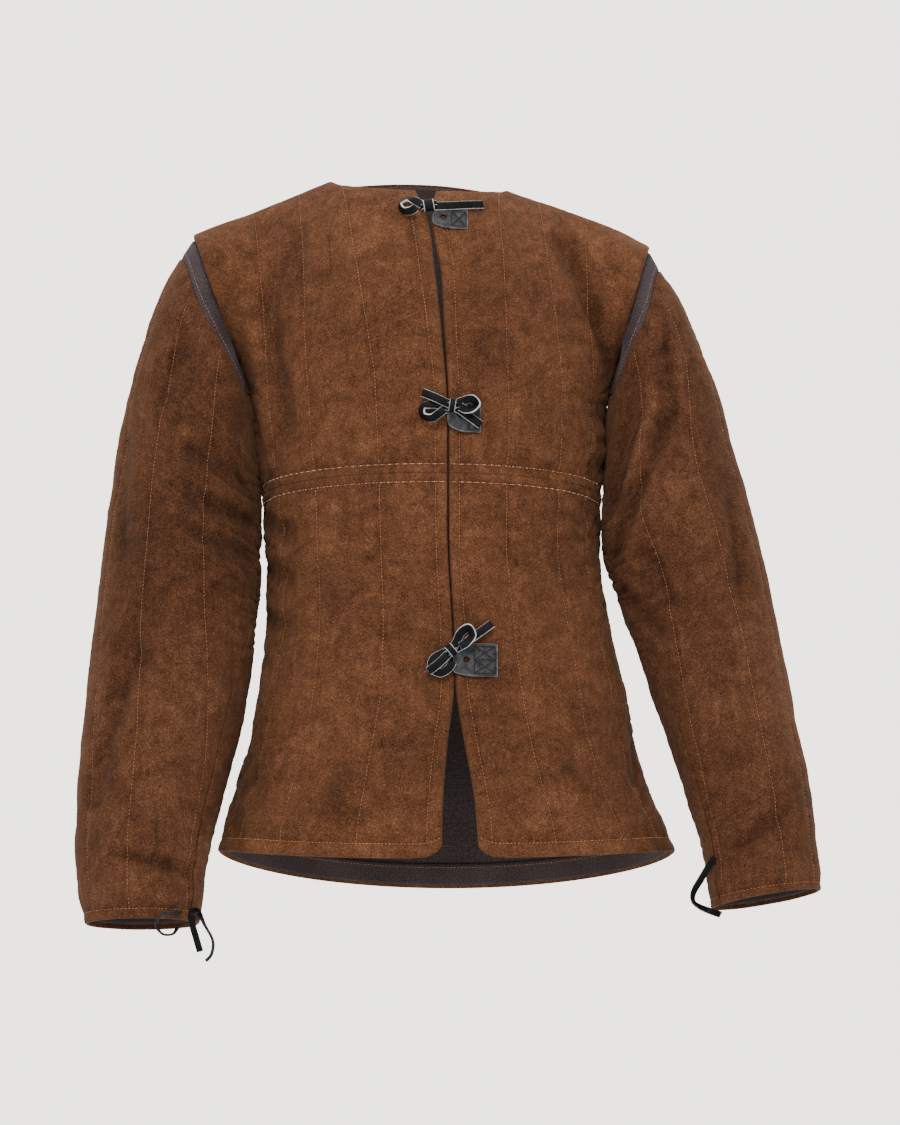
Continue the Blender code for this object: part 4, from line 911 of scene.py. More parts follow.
def makeThread(name):
    material, tree, shader = newMaterial(name, threadLook["shader"])
    colours = [[min(1.0, gain * c) for c in threadLook["colours"][name]]
               for gain in threadLook["gains"]]
    flecks = addNoise(tree, objectPlace(tree), threadLook["flecks"], 2.0)
    colourBy(tree, shader, flecks, threadLook["places"], colours)
    return material


# thongs and laces
straps = {
    "thong": {"wide": 8.5 * mm, "thick": 2.0 * mm, "edge": "cutEdge", "lay": "loose"},
    "lace": {"wide": 6.5 * mm, "thick": 1.8 * mm, "edge": "laceEdge", "lay": "hanging"},
    "places": 150,
    "clothToTab": 0.4 * mm, "tabThick": 3.0 * mm, "tabToThong": 0.5 * mm,
}


def strapLine(route, leans, count):
    # smooth curve through the route's points, with the strap's width direction along it
    table = tableOf("place x y z lean", *[(place, *point, lean) for place, (point, lean)
                                          in enumerate(zip(route, leans))])
    at = np.linspace(0, len(route) - 1, count)
    line = np.stack([readTable(table, axis, at) for axis in "xyz"], -1)
    lean = np.radians(readTable(table, "lean", at))[:, None]
    ahead = unit(np.gradient(line, axis=0))
    side = unit(np.cross(ahead, (0.0, -1.0, 0.0)))
    wide = side * np.cos(lean) + np.cross(side, ahead) * np.sin(lean)
    return line, wide, np.cross(wide, ahead)


def strapMesh(name, line, wide, thick, look, materials):
    # flat profile with round corners carried along the line; its narrow sides are cut edges
    flat, side, bevel = look["wide"] / 2, look["thick"] / 2, 0.17 * look["thick"]
    profile = np.array(((-flat + bevel, side), (-flat / 3, side * 1.05), (flat / 3, side * 1.05),
                        (flat - bevel, side), (flat, side - bevel), (flat, -side + bevel),
                        (flat - bevel, -side), (-flat + bevel, -side), (-flat, -side + bevel),
                        (-flat, side - bevel)))
    cut = np.array((0, 0, 0, 1, 1, 1, 0, 1, 1, 1))
    ring = wide[:, None] * profile[None, :, :1] + thick[:, None] * profile[None, :, 1:]
    points = (line[:, None] + ring).transpose(1, 0, 2)
    ids = gridIds(points, closed=True)
    faces = cellsOf(ids).tolist() + [ids[:-1, 0].tolist(), ids[:-1, -1].tolist()]
    kinds = np.concatenate((np.repeat(cut, len(line) - 1), (1, 1)))
    return finishMesh(name, points.reshape(-1, 3), faces, materials, faceKinds=kinds)


tabs = tableOf(
    "number tipX/mm rootX/mm midZ/mm rootHalf/mm tipHalf/mm holeX/mm holeZ/mm knotX/mm knotZ/mm",
    (0, 12.5, 48, -36.5, 11.5, 4, 23.5, -35.5, 8.5, -24),
    (1, 27.5, 60.5, -248, 15.5, 5, 40, -246, 32.5, -239),
    (2, 33, 76.5, -493, 16.5, 11, 46, -493, 31, -485),
)
tabNames = ("top", "middle", "bottom")


def tabOf(number):
    return dict(zip(tabs["columns"], tabs["rows"][number].tolist()))


def frontY(x, z):
    # the wearer's left front at the top of its padding, by Newton steps on share and level
    x, z = np.broadcast_arrays(np.asarray(x, float), np.asarray(z, float))
    plain = frontPlain(1.0)
    share = np.full(x.shape, 0.1)
    waist, chest = body["waistZ"], body["chestZ"]
    level = np.where(z < waist, (z - waist) / (waist - body["hemSideZ"]),
                     np.where(z < chest, (z - waist) / (chest - waist),
                              1 + (z - chest) / (body["neckSideZ"][1] - chest)))
    step = 1e-4
    for _ in range(12):
        here = plain(share, level)
        byShare = (plain(share + step, level) - here) / step
        byLevel = (plain(share, level + step) - here) / step
        missX, missZ = x - here[..., 0], z - here[..., 2]
        scale = byShare[..., 0] * byLevel[..., 2] - byShare[..., 2] * byLevel[..., 0]
        share = share + (missX * byLevel[..., 2] - missZ * byLevel[..., 0]) / scale
        level = level + (missZ * byShare[..., 0] - missX * byShare[..., 2]) / scale
    return plain(share, level)[..., 1] - body["padding"]


def onFront(x, z, lift):
    return np.stack((x, frontY(x, z) - lift, z), -1)


# tab number, then the route from the knot's flank round the loop and under the knot to the
# free end, in millimetres from the knot: across, up, lift off the tab, and lean in degrees
thongs = {
    "tie_top_thong": (0, (
        (-13.0, -4.0, 7.4, 0), (-18, -7.5, 6.8, 25), (-25, -7, 6.0, 60), (-28.5, -0.5, 5.6, 70),
        (-23, 6, 5.2, 55), (-15, 5.5, 3.9, 15), (-8, 1.8, 3.0, 0), (0, 0, 3.0, 0), (9, 0, 3.0, 0),
        (20, 1, 3.2, 0), (37, 3.5, 3.6, 0), (55, 6.5, 3.8, 6))),
    "tie_middle_thong_a": (1, (
        (-8.2, -4.6, 7.6, 0), (-13.5, -8.8, 7.6, 10), (-21, -13, 6.8, 40), (-29, -10, 5.4, 60),
        (-29.5, -1.5, 3.6, 35), (-20, 1.6, 1.7, 4), (-9, 0.4, 1.4, 0), (0, -0.5, 1.4, 0),
        (7, -3, 1.4, 0), (17, -10, 1.6, 0), (28, -18, 2.6, 6))),
    "tie_middle_thong_b": (1, (
        (7.4, -1.6, 7.8, 0), (13, -4.2, 7.9, 10), (20, -3.5, 7.4, 40), (25, 1.8, 6.8, 55),
        (19, 7.2, 5.6, 30), (9, 4.4, 4.2, 5), (0, 0.8, 4.0, 0), (-7, 3.2, 4.1, 0),
        (-17, 7.8, 4.7, 0), (-30, 13, 5.2, 6))),
    "tie_bottom_thong_a": (2, (
        (1.5, -11.0, 1.6, 0), (-2.5, -17.5, 1.8, 4), (-10.5, -22, 2.0, 6), (-18.5, -17, 2.0, 6),
        (-17, -8, 1.7, 3), (-8, -2.4, 1.4, 0), (0, 0, 1.4, 0), (9, 5, 1.4, 0), (24, 16, 2.0, 0),
        (40, 28, 3.2, 8))),
    "tie_bottom_thong_b": (2, (
        (9.0, 3.4, 8.0, 0), (15, 7, 8.4, 15), (21, 14.5, 8.4, 36), (17, 22.5, 7.4, 40),
        (9.5, 17.5, 5.6, 15), (5, 8, 4.3, 0), (0, 0, 4.2, 0), (-5.5, -6.5, 4.6, 0),
        (-12, -13, 5.2, 0), (-22, -21, 4.8, 6))),
}
# tab number, half width, half height, turn in degrees, low and high lift, in millimetres
knots = {
    "tie_top_knot": (0, 8.6, 6.2, 10, 4.6, 9.8),
    "tie_middle_knot": (1, 5.0, 6.6, -8, 5.8, 10.6),
    "tie_bottom_knot": (2, 5.6, 6.4, 40, 6.1, 10.9),
}
# millimetres from the seam's lower end at the cuff: across, up, lift off the cuff, lean
laces = {
    "cuff_lace_right_a": ("right", "object", (
        (-5, 6, 2.9, 55), (-14, 5, 3.6, 75), (-24, 1, 4.2, 80), (-27.5, -8, 4.4, 80),
        (-21, -16, 4.2, 80), (-12, -15.5, 3.8, 75), (-7, -8.5, 3.4, 60))),
    "cuff_lace_right_b": ("right", "bare", (
        (13.0, -30, 5.6, 0), (9.0, -17, 5.0, 0), (5.5, -4, 3.0, 0), (5.0, 7, 1.6, 8),
        (10.0, 9.5, 1.6, 45), (16.5, -3, 2.0, 75), (25, -19, 2.2, 80), (24, -32, 2.2, 80),
        (18.5, -39, 2.4, 80))),
    "cuff_lace_left": ("left", "bare", (
        (-7, 46, 4.0, 0), (-13, 37, 4.8, 0), (-21, 24, 5.6, 10), (-28, 12, 6.0, 35),
        (-28.5, 3, 6.0, 55), (-22, -2.5, 5.4, 40), (-12, -6.5, 4.4, 15), (-3, -11, 3.8, 0))),
}

# sleeves
sleeve = {
    "length": 0.70, "arc": 0.072, "headCut": 0.016, "wall": 5.5 * mm, "padding": 6.5 * mm,
    "outerChannels": 7, "underChannels": 2, "outerSpan": 276, "underSpan": 70,
    "cuffRun": 0.9857,        # row of stitching along the cuff
    "cell": 2.5 * mm,
    "seeds": {"right": 20, "left": 31},
}
sleeveCuts = {
    "right": tableOf(
        "run outX/mm outZ/mm inX/mm inZ/mm midY/mm halfY/mm",
        (-0.03, -238, -32, -176.5, -190, 0, 56), (0, -248, -47, -174.5, -203, 0, 60),
        (0.06, -270, -96, -170.5, -244, 0, 66), (0.13, -284, -139, -166.5, -286, 0, 70),
        (0.21, -295, -181, -164.3, -325, -1, 72), (0.3, -307, -245, -164, -368, -3, 74),
        (0.4, -316.5, -320, -163, -412, -6, 75), (0.5, -324, -395, -166.5, -456, -10, 75),
        (0.6, -331, -470, -171.5, -500, -15, 73), (0.7, -336, -540, -181, -552, -22, 69),
        (0.8, -340, -609, -195, -612, -30, 64), (0.9, -339, -677, -210, -676, -38, 58),
        (1, -331, -743, -214.5, -742, -45, 53), (1.04, -327, -769, -215.5, -768, -48, 52),
    ),
    "left": tableOf(
        "run outX/mm outZ/mm inX/mm inZ/mm midY/mm halfY/mm",
        (-0.03, 237.5, -45, 195.5, -190, 0, 56), (0, 246, -60, 194.5, -203, 0, 60),
        (0.06, 268, -100, 192.5, -244, 0, 66), (0.13, 285, -142, 190, -286, 0, 70),
        (0.21, 300, -184, 186.8, -325, -1, 72), (0.3, 316, -243, 186.5, -364, -3, 74),
        (0.4, 335, -318, 198.5, -404, -6, 74), (0.5, 353, -402, 209.5, -446, -10, 72),
        (0.6, 367, -478, 227.5, -494, -15, 69), (0.7, 378, -548, 246, -550, -22, 65),
        (0.8, 387, -610, 264.5, -612, -30, 61), (0.9, 392, -664, 281, -672, -38, 56),
        (1, 397.5, -709, 284.5, -728, -45, 52), (1.04, 399, -727, 286.5, -750, -48, 51),
    ),
}
# seams of the under sleeve, in degrees from the outer side over the front; the slit's half width
sleeveSeams = tableOf(
    "run front back slit/mm",
    (-0.03, 163, 228, 0), (0.45, 163, 230, 0), (0.62, 148, 230, 0), (0.8, 146, 229, 1.2),
    (1, 152, 228, 2.6), (1.04, 152, 228, 2.8),
)
# stitch lines on the front of each sleeve, in the same degrees
sleeveLines = {
    "right": tableOf(
        "run outer inner",
        (-0.03, 62, 106), (0.15, 63, 106), (0.38, 66, 108), (0.62, 72, 123), (0.72, 77, 132),
        (0.82, 80, 138), (1.04, 83, 144),
    ),
    "left": tableOf(
        "run outer inner",
        (-0.03, 50, 104), (0.12, 52, 106), (0.25, 65, 116), (0.5, 67, 118), (0.65, 69, 128),
        (0.82, 72, 138), (1.04, 73, 144),
    ),
}
# degrees as above; along and width in sleeve lengths and millimetres
sleeveFolds = {
    "right": tableOf(
        "turnA alongA turnB alongB width/mm depth/mm",
        (76, 0.06, 62, 0.2, 12, -4), (140, 0.19, 94, 0.24, 11, -3.5),
        (152, 0.26, 100, 0.31, 11, -4), (146, 0.34, 106, 0.37, 11, -3.5),
        (67, 0.6, 44, 0.82, 13, -4.5), (84, 0.91, 142, 0.93, 10, -3), (30, 0.3, 44, 0.44, 14, -3),
        (-60, 0.12, -95, 0.25, 13, -4), (-120, 0.3, -75, 0.38, 13, -3.5),
        (-110, 0.52, -60, 0.6, 14, -3.5), (-40, 0.78, -90, 0.86, 13, -3.5),
        (176, 0.4, 196, 0.55, 13, -3),
    ),
    "left": tableOf(
        "turnA alongA turnB alongB width/mm depth/mm",
        (74, 0.08, 86, 0.2, 12, -4.5), (86, 0.2, 150, 0.33, 12, -5),
        (100, 0.15, 128, 0.22, 12, 3), (116, 0.05, 144, 0.22, 22, -4.5),
        (128, 0.38, 120, 0.48, 12, -3.5), (160, 0.42, 132, 0.52, 12, -3),
        (44, 0.36, 58, 0.5, 14, -3), (60, 0.84, 120, 0.9, 11, -3), (-66, 0.1, -90, 0.24, 13, -4),
        (-125, 0.32, -80, 0.4, 13, -3.5), (-100, 0.55, -55, 0.62, 14, -3.5),
        (-45, 0.76, -95, 0.85, 13, -3.5), (180, 0.5, 198, 0.62, 13, -3),
    ),
}
sleeveCreases = {
    "right": tableOf(
        "turnA alongA turnB alongB width/mm depth/mm",
        (66, 0.05, 58, 0.24, 5.5, -1.5), (84, 0.09, 74, 0.27, 5.5, -1.4),
        (150, 0.21, 112, 0.235, 4.5, -1.5), (152, 0.235, 106, 0.275, 5, 1.2),
        (155, 0.29, 118, 0.325, 4.5, -1.6), (148, 0.31, 104, 0.345, 5, 1.2),
        (150, 0.365, 116, 0.385, 4.5, -1.4), (146, 0.43, 122, 0.45, 5, -1.2),
        (72, 0.58, 52, 0.74, 5, -1.3), (60, 0.66, 40, 0.84, 5.5, 1.2),
        (80, 0.7, 64, 0.8, 5, -1.2), (70, 0.905, 120, 0.922, 4.5, -1.2),
        (96, 0.895, 148, 0.905, 5, 1), (40, 0.4, 52, 0.52, 5.5, -1.1),
        (-70, 0.2, -110, 0.28, 5.5, -1.5), (-118, 0.34, -84, 0.4, 5, -1.4),
        (-105, 0.56, -70, 0.62, 5, -1.3), (-50, 0.82, -96, 0.89, 5, -1.3),
    ),
    "left": tableOf(
        "turnA alongA turnB alongB width/mm depth/mm",
        (64, 0.05, 76, 0.2, 5.5, -1.4), (92, 0.17, 138, 0.27, 5.5, -1.7),
        (108, 0.12, 140, 0.2, 5, -1.4), (96, 0.26, 146, 0.37, 5.5, 1.3),
        (124, 0.36, 112, 0.5, 5, -1.4), (150, 0.36, 130, 0.46, 5, -1.4),
        (158, 0.47, 136, 0.56, 5, 1.1), (48, 0.4, 62, 0.55, 5.5, -1.2),
        (104, 0.56, 96, 0.66, 5.5, -1.1), (66, 0.86, 112, 0.905, 4.5, -1.2),
        (90, 0.83, 140, 0.855, 5, -1.1), (-74, 0.18, -104, 0.27, 5.5, -1.5),
        (-120, 0.36, -86, 0.42, 5, -1.4), (-98, 0.58, -62, 0.65, 5, -1.3),
        (-50, 0.8, -92, 0.87, 5, -1.3),
    ),
}


def headCut(degrees):
    # how much lower the sleeve head starts in front, in sleeve lengths
    around = np.mod(degrees, 360)
    return sleeve["headCut"] * easeIn((around - 34) / 45) * (1 - easeIn((around - 150) / 25))


def sleeveAt(word, run):
    # outX, outZ, inX, inZ, midY and halfY
    table = sleeveCuts[word]
    return [readTable(table, column, run) for column in table["columns"][1:]]


def sleevePlain(word, arcOf):
    # inner face: an ellipse from the outer to the inner edge of each section
    def place(share, run):
        share, run = np.broadcast_arrays(share, run)
        turn = arcOf(share, run)
        run = run + headCut(np.degrees(turn)) * np.clip(1 - run, 0, None) ** 10
        outX, outZ, inX, inZ, midY, halfY = sleeveAt(word, run)
        outer, inner = np.stack((outX, outZ), -1), np.stack((inX, inZ), -1)
        middle, reach = (outer + inner) / 2, (outer - inner) / 2
        length = np.linalg.norm(reach, axis=-1, keepdims=True)
        flat = middle + reach * (length - sleeve["wall"]) / length * np.cos(turn)[..., None]
        return np.stack((flat[..., 0], midY - halfY * np.sin(turn), flat[..., 1]), -1)

    return place


def slitAngle(run):
    slit = np.clip(readTable(sleeveSeams, "slit", run), 0, None)
    return np.degrees(slit / sleeve["arc"] / 2)


def outerArc(word):
    # angles of the outer sleeve, even over its first channels, then by the table of stitch lines
    lines, channels = sleeveLines[word], sleeve["outerChannels"]
    first, second = (channels - 2) / channels, (channels - 1) / channels

    def arc(share, run):
        back = readTable(sleeveSeams, "back", run) - 360
        front = readTable(sleeveSeams, "front", run) - slitAngle(run)
        outer, inner = readTable(lines, "outer", run), readTable(lines, "inner", run)
        turn = back + (outer - back) * share / first
        turn = np.where(share > first, outer + (inner - outer) * (share - first) * channels, turn)
        turn = np.where(share > second, inner + (front - inner) * (share - second) * channels, turn)
        return np.radians(turn)

    return arc


def underArc(share, run):
    # angles of the under sleeve, even from its front seam to its back one
    front = readTable(sleeveSeams, "front", run) + slitAngle(run)
    return np.radians(front + (readTable(sleeveSeams, "back", run) - front) * share)


def sleeveWall(word, arcOf):
    def inside(points, run):
        outX, _, inX, _, midY, _ = sleeveAt(word, run)
        return np.stack(((outX + inX) / 2, midY, points[..., 2]), -1)

    return (sleevePlain(word, arcOf), inside, lambda share, run: np.degrees(arcOf(share, run)),
            sleeveFolds[word], sleeve["arc"])


def sleeveFinder(word, arcOf, channels, seed):
    length, arc = sleeve["length"], sleeve["arc"]

    def padOf(share, run, points):
        # quilting lines, the cuff's stitching, creases and rounded edges
        turn = arcOf(share, run)
        gaps = [np.abs(turn - arcOf(line + 0 * share, run)) * arc
                for line in np.linspace(0, 1, channels + 1)]
        away, toCuff = np.minimum.reduce(gaps[1:-1]), (1 - run) * length
        row, degrees = np.abs(run - sleeve["cuffRun"]) * length, np.degrees(turn)
        nearCuff, free = fade("cuff", toCuff), fade("free", run)
        pad = (sleeve["padding"] - body["pressed"]) * stitchedDown(away) * nearCuff
        pad = pad * fade("head", run) + puckerAt(away, run * length, points, seed)
        pad += uneven(points, row, row, turn * arc, nearCuff, free, seed)
        pad += foldDepth(sleeveCreases[word], degrees, run, arc, length)
        ruck = free * sleeveRuck(degrees, run) * nearCuff
        pad += crinkles(turn * arc, run * length, seed) * ruck
        pad = np.maximum(body["pressed"] + pad, body["thinnest"])
        pad = edgeRound(pad, np.minimum(gaps[0], gaps[-1]), "sewn")
        return edgeRound(pad, np.minimum(toCuff + 0.4 * mm, run * length), "open")

    return wallFinder(sleeveWall(word, arcOf), padOf)


def sleeveRuck(degrees, run):
    # most at the inner side by the elbow, some near the cuff and round the head
    middle, wide = rucks["sleeveSide"]
    inner = bump(np.mod(degrees - middle + 180, 360) - 180, wide)
    least = rucks["sleeveLeast"] + humps(run, rucks["head"])
    return np.clip(least + inner * humps(run, rucks["elbow"]), 0, 1)


def sleeveFrontY(word, x, run):
    # front of a sleeve's outer face at x
    outX, _, inX, _, midY, halfY = sleeveAt(word, run)
    across = np.clip((x - (outX + inX) / 2) / ((outX - inX) / 2), -0.94, 0.94)
    return midY - (halfY + sleeve["padding"]) * np.sqrt(1 - across ** 2)


# making the pieces
made = {}


def dress(thing, nodes):
    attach(thing, "root")
    if nodes:
        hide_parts(*nodes)
    made[thing.name] = thing


def makeStrap(looks, node, kind, route, leans, fromEnd=False):
    # one thong or lace; fromEnd when the cloth holds its route's last point
    look = straps[kind]
    line, wide, thick = strapLine(route, leans, straps["places"])
    if fromEnd:
        line, wide, thick = line[::-1], -wide[::-1], thick[::-1]
    name = "strap" + node[node.index("_"):]
    thing = strapMesh(name, line, wide, thick, look, [looks["thongLeather"], looks[look["edge"]]])
    dress(thing, [node])


def makeTies(looks):
    base = straps["tabThick"] + straps["tabToThong"]
    for node, (number, steps) in thongs.items():
        tab, (across, up, lift, leans) = tabOf(number), np.array(steps, dtype=float).T
        route = onFront(tab["knotX"] + across * mm, tab["knotZ"] + up * mm, base + lift * mm)
        makeStrap(looks, node, "thong", route, leans)
    for node, (word, farEnd, steps) in laces.items():
        across, up, lift, leans = np.array(steps, dtype=float).T
        foot = sleevePlain(word, outerArc(word))(np.array((1.0,)), np.array((1.0,)))[0]
        run = np.clip(1 - up * mm / sleeve["length"], 0, 1)
        x = foot[0] + across * mm
        route = np.stack((x, sleeveFrontY(word, x, run) - lift * mm, foot[2] + up * mm), -1)
        makeStrap(looks, node, "lace", route, leans, farEnd == "bare")


def spun(x, y, degrees):
    turn = math.radians(degrees)
    return x * math.cos(turn) - y * math.sin(turn), x * math.sin(turn) + y * math.cos(turn)


def knotCore(halfX, halfZ, low, high):
    # a squared ball in millimetres
    def power(t, p):
        return np.sign(t) * np.abs(t) ** p

    theta, phi = np.meshgrid(np.linspace(0, 2 * math.pi, 33)[:-1],
                             np.linspace(-math.pi / 2, math.pi / 2, 15)[1:-1], indexing="ij")
    girth = power(np.cos(phi), 0.7)
    core = np.stack((power(np.cos(theta), 0.8) * girth * halfX * 0.74,
                     power(np.sin(theta), 0.8) * girth * halfZ * 0.78,
                     (low + high) / 2 - 0.5 + power(np.sin(phi), 0.7) * (high - low) * 0.36), -1)
    ids = gridIds(core, closed=True)
    faces = cellsOf(ids).tolist() + [ids[:-1, 0].tolist(), ids[:-1, -1].tolist()]
    return core.reshape(-1, 3), faces, [0] * len(faces)


def knotTurn(low, high, angle, lift, reach, wide):
    # one turn of the strap, in millimetres: bent down at its ends, with cut edges at its sides
    t, across = np.linspace(-1, 1, 25)[:, None], np.array((-1.0, -0.84, -0.4, 0.0, 0.4, 0.84, 1.0))
    bend = np.sqrt(np.clip(1 - np.abs(t) ** 2.6, 0, 1))
    grids = []
    for under in (0.0, 1.0):
        height = low + (high - low + lift - 1.1 * under) * bend - 0.5 * across ** 4
        grids.append(np.stack((*spun(t * (reach - 0.9 * under), across * wide, angle), height), -1))
    outerIds = gridIds(grids[0])
    innerIds = gridIds(grids[1], outerIds.size)
    faces = cellsOf(outerIds).tolist() + cellsOf(innerIds)[:, ::-1].tolist()
    edge = [1, 0, 0, 0, 0, 1] * (len(faces) // 12)
    kinds = edge + [0] * len(edge)
    for side in (0, -1):
        rim = cellsOf(np.stack((outerIds[:, side], innerIds[:, side]), -1)).tolist()
        end = cellsOf(np.stack((outerIds[side], innerIds[side]), -1)).tolist()
        faces += rim + end
        kinds += [1] * len(rim) + [0] * len(end)
    return np.concatenate([grid.reshape(-1, 3) for grid in grids]), faces, kinds


def makeKnots(looks):
    # each knot: two turns of the strap bent over a low core
    for node, (number, halfX, halfZ, turn, low, high) in knots.items():
        tab = tabOf(number)
        base = float(frontY(tab["knotX"], tab["knotZ"])) - straps["tabThick"] - straps["tabToThong"]
        points, faces, kinds = np.zeros((0, 3)), [], []
        for corners, cells, kind in (knotCore(halfX, halfZ, low, high),
                                     knotTurn(low, high, 90, 0.0, halfZ, 0.62 * halfX),
                                     knotTurn(low, high, 8, -1.3, halfX, 0.40 * halfZ)):
            faces += [[i + len(points) for i in cell] for cell in cells]
            kinds += kind
            points = np.concatenate((points, corners))
        across, up, lift = (points * mm).T
        across, up = spun(across, up, turn)
        points = np.stack((tab["knotX"] + across, base - lift, tab["knotZ"] + up), -1)
        thing = finishMesh(node.replace("tie", "wound"), points, faces,
                           [looks["thongLeather"], looks["cutEdge"]], faceKinds=kinds)
        dress(thing, [node])


tabLook = {
    "hole": 2.9 * mm, "edgeRound": 0.7 * mm, "places": 60,
    "tipShare": 0.62,      # of its length, over which it widens from the tip
    # the sewn box, in from the hole, the root and the sides, and its lines between corners a to d
    # and the middles of its left and right sides
    "inset": (8 * mm, 2.2 * mm, 3.0 * mm),
    "lines": {"top": "ab bc cd da ac bd", "middle": "ab bc cd da ac bd",
              "bottom": "ab bc cd da lr ar ld lc br"},
}


def tabOutline(tab):
    # half height grows from the round tip to the root as a quarter circle does
    count = tabLook["places"] // 2
    share = np.concatenate((np.linspace(0, 0.25, count), np.linspace(0.26, 1, count)))
    widen = np.sqrt(np.clip(1 - (1 - np.clip(share / tabLook["tipShare"], 0, 1)) ** 2, 0, 1))
    half = tab["tipHalf"] + (tab["rootHalf"] - tab["tipHalf"]) * widen
    x = tab["tipX"] + (tab["rootX"] - tab["tipX"]) * share
    upper, lower = (np.stack((x, tab["midZ"] + sign * half), -1) for sign in (1, -1))
    return np.concatenate((upper, lower[::-1]))


def makeTabs(looks):
    # a ring of profiles round the hole: hole wall, top face, cut edge, underside
    edge, count, inner = tabLook["edgeRound"], tabLook["places"], tabLook["hole"]
    low, high = straps["clothToTab"], straps["clothToTab"] + straps["tabThick"]
    # share of the way out, distance beyond it, lift off the cloth
    steps = [(0, 0.0, low), (0, 0.0, high - edge), (0, edge, high)]
    steps += [(t, 0.0, high) for t in np.linspace(0.12, 0.9, 7)]
    steps += [(1, -edge, high), (1, -0.3 * edge, high - 0.3 * edge), (1, 0.0, high - edge),
              (1, 0.0, low)]
    kinds = [int(share == 1 and beyond > -edge) for share, beyond, _ in steps[1:]] + [0]
    for number, word in enumerate(tabNames):
        tab = tabOf(number)
        hole = np.array((tab["holeX"], tab["holeZ"]))
        outline = tabOutline(tab)
        closed = np.concatenate((outline, outline[:1]))
        dense = np.concatenate([a + (b - a) * np.linspace(0, 1, 9)[:-1, None]
                                for a, b in zip(closed, closed[1:])])
        angles, reach = np.arctan2(*(dense - hole).T[::-1]), np.linalg.norm(dense - hole, axis=-1)
        order = np.argsort(angles)
        corners = np.arctan2(*(outline[[0, -1, count - 1, count]] - hole).T[::-1])
        turn = np.sort(np.concatenate((np.linspace(-math.pi, math.pi, 121)[:-1], corners)))
        far = np.interp(turn, angles[order], reach[order], period=2 * math.pi)
        ray, rings = np.stack((np.cos(turn), np.sin(turn)), -1), []
        for share, beyond, lift in steps:
            flat = hole + ray * (inner + (far - inner) * share + beyond)[:, None]
            rings.append(onFront(flat[:, 0], flat[:, 1], lift))
        points = np.stack(rings, 1)
        ids = gridIds(points, closed=True)
        ids = np.concatenate((ids, ids[:, :1]), axis=1)
        thing = finishMesh(f"leatherTab_{word}", points.reshape(-1, 3), cellsOf(ids).tolist(),
                           [looks["tabLeather"], looks["tabEdge"]],
                           faceKinds=np.tile(kinds, len(points)))
        dress(thing, [f"tab_{word}"])
        fromHole, fromRoot, fromSide = tabLook["inset"]
        left, right = tab["holeX"] + fromHole, tab["rootX"] - fromRoot
        half, midZ = tab["rootHalf"] - fromSide, tab["midZ"]
        spots = {"a": (left, midZ - half), "b": (left, midZ + half), "c": (right, midZ + half),
                 "d": (right, midZ - half), "l": (left, midZ), "r": (right, midZ)}
        rows = []
        for pair in tabLook["lines"][word].split():
            start, end = (np.array(spots[spot]) for spot in pair)
            flat = start + (end - start) * np.linspace(0, 1, 24)[:, None]
            line = onFront(flat[:, 0], flat[:, 1], high)
            rows.append(stitchesAlong(line, np.tile((0.0, -1.0, 0.0), (len(line), 1)), "tab"))
        threadMesh(f"tabStitch_{word}", rows, looks["blackThread"])


# ends of the stitching and the lining: first and last share, level or run, and the places
sewing = {
    "clearAbove": 0.02, "clearBelow": 0.004,     # between the waist's rows and the quilting
    "chestEnd": (1.985, 600), "skirtPlaces": 500,
    "frontRows": (0.006, 0.995, 400), "backRows": (0.004, 0.996, 800),
    "facingRow": (0.01, 0.99, 700), "cuffRow": (0.012, 0.988, 300),
    "sleeveStart": 0.012, "sleevePlaces": 700,
    "suedeTop": 2.0 - 0.0008, "sleeveTop": 0.002,
}
linings = {
    "levels": ((-0.985, 0, 60), (0, 1, 18), (1, 1.990, 40)),
    "front": (0.012, 0.996, 46), "back": (0.002, 0.998, 92),
    "facingLevels": (-0.992, -0.935, 9),
    "cuffRuns": (0.955, 0.993, 8), "cuffOuter": (0, 1, 90), "cuffUnder": (0, 1, 26),
}


def suedeWall(name, find, u, v, material, node):
    # one padded panel, with the area of its cloth, which is half its mesh's
    inner, outer, _, fold = find(u[:, None], v)
    # the relief values paint light and shade into the suede's colour
    thing = wallMesh(name, outer, inner, u, v, material, reliefShadeOf(outer, inner, fold))
    dress(thing, [node])
    areas = np.empty(len(thing.data.polygons), dtype=np.float32)
    thing.data.polygons.foreach_get("area", areas)
    print(name, "cloth", round(float(areas.sum()) / 2, 3), "square metres")


def liningWall(name, wall, u, v, gap, keep, material, node):
    outer, inner = liningFaces(wall, u[:, None], v, gap)
    dress(wallMesh(name, outer, inner, u, v, material, keep=keep), [node])


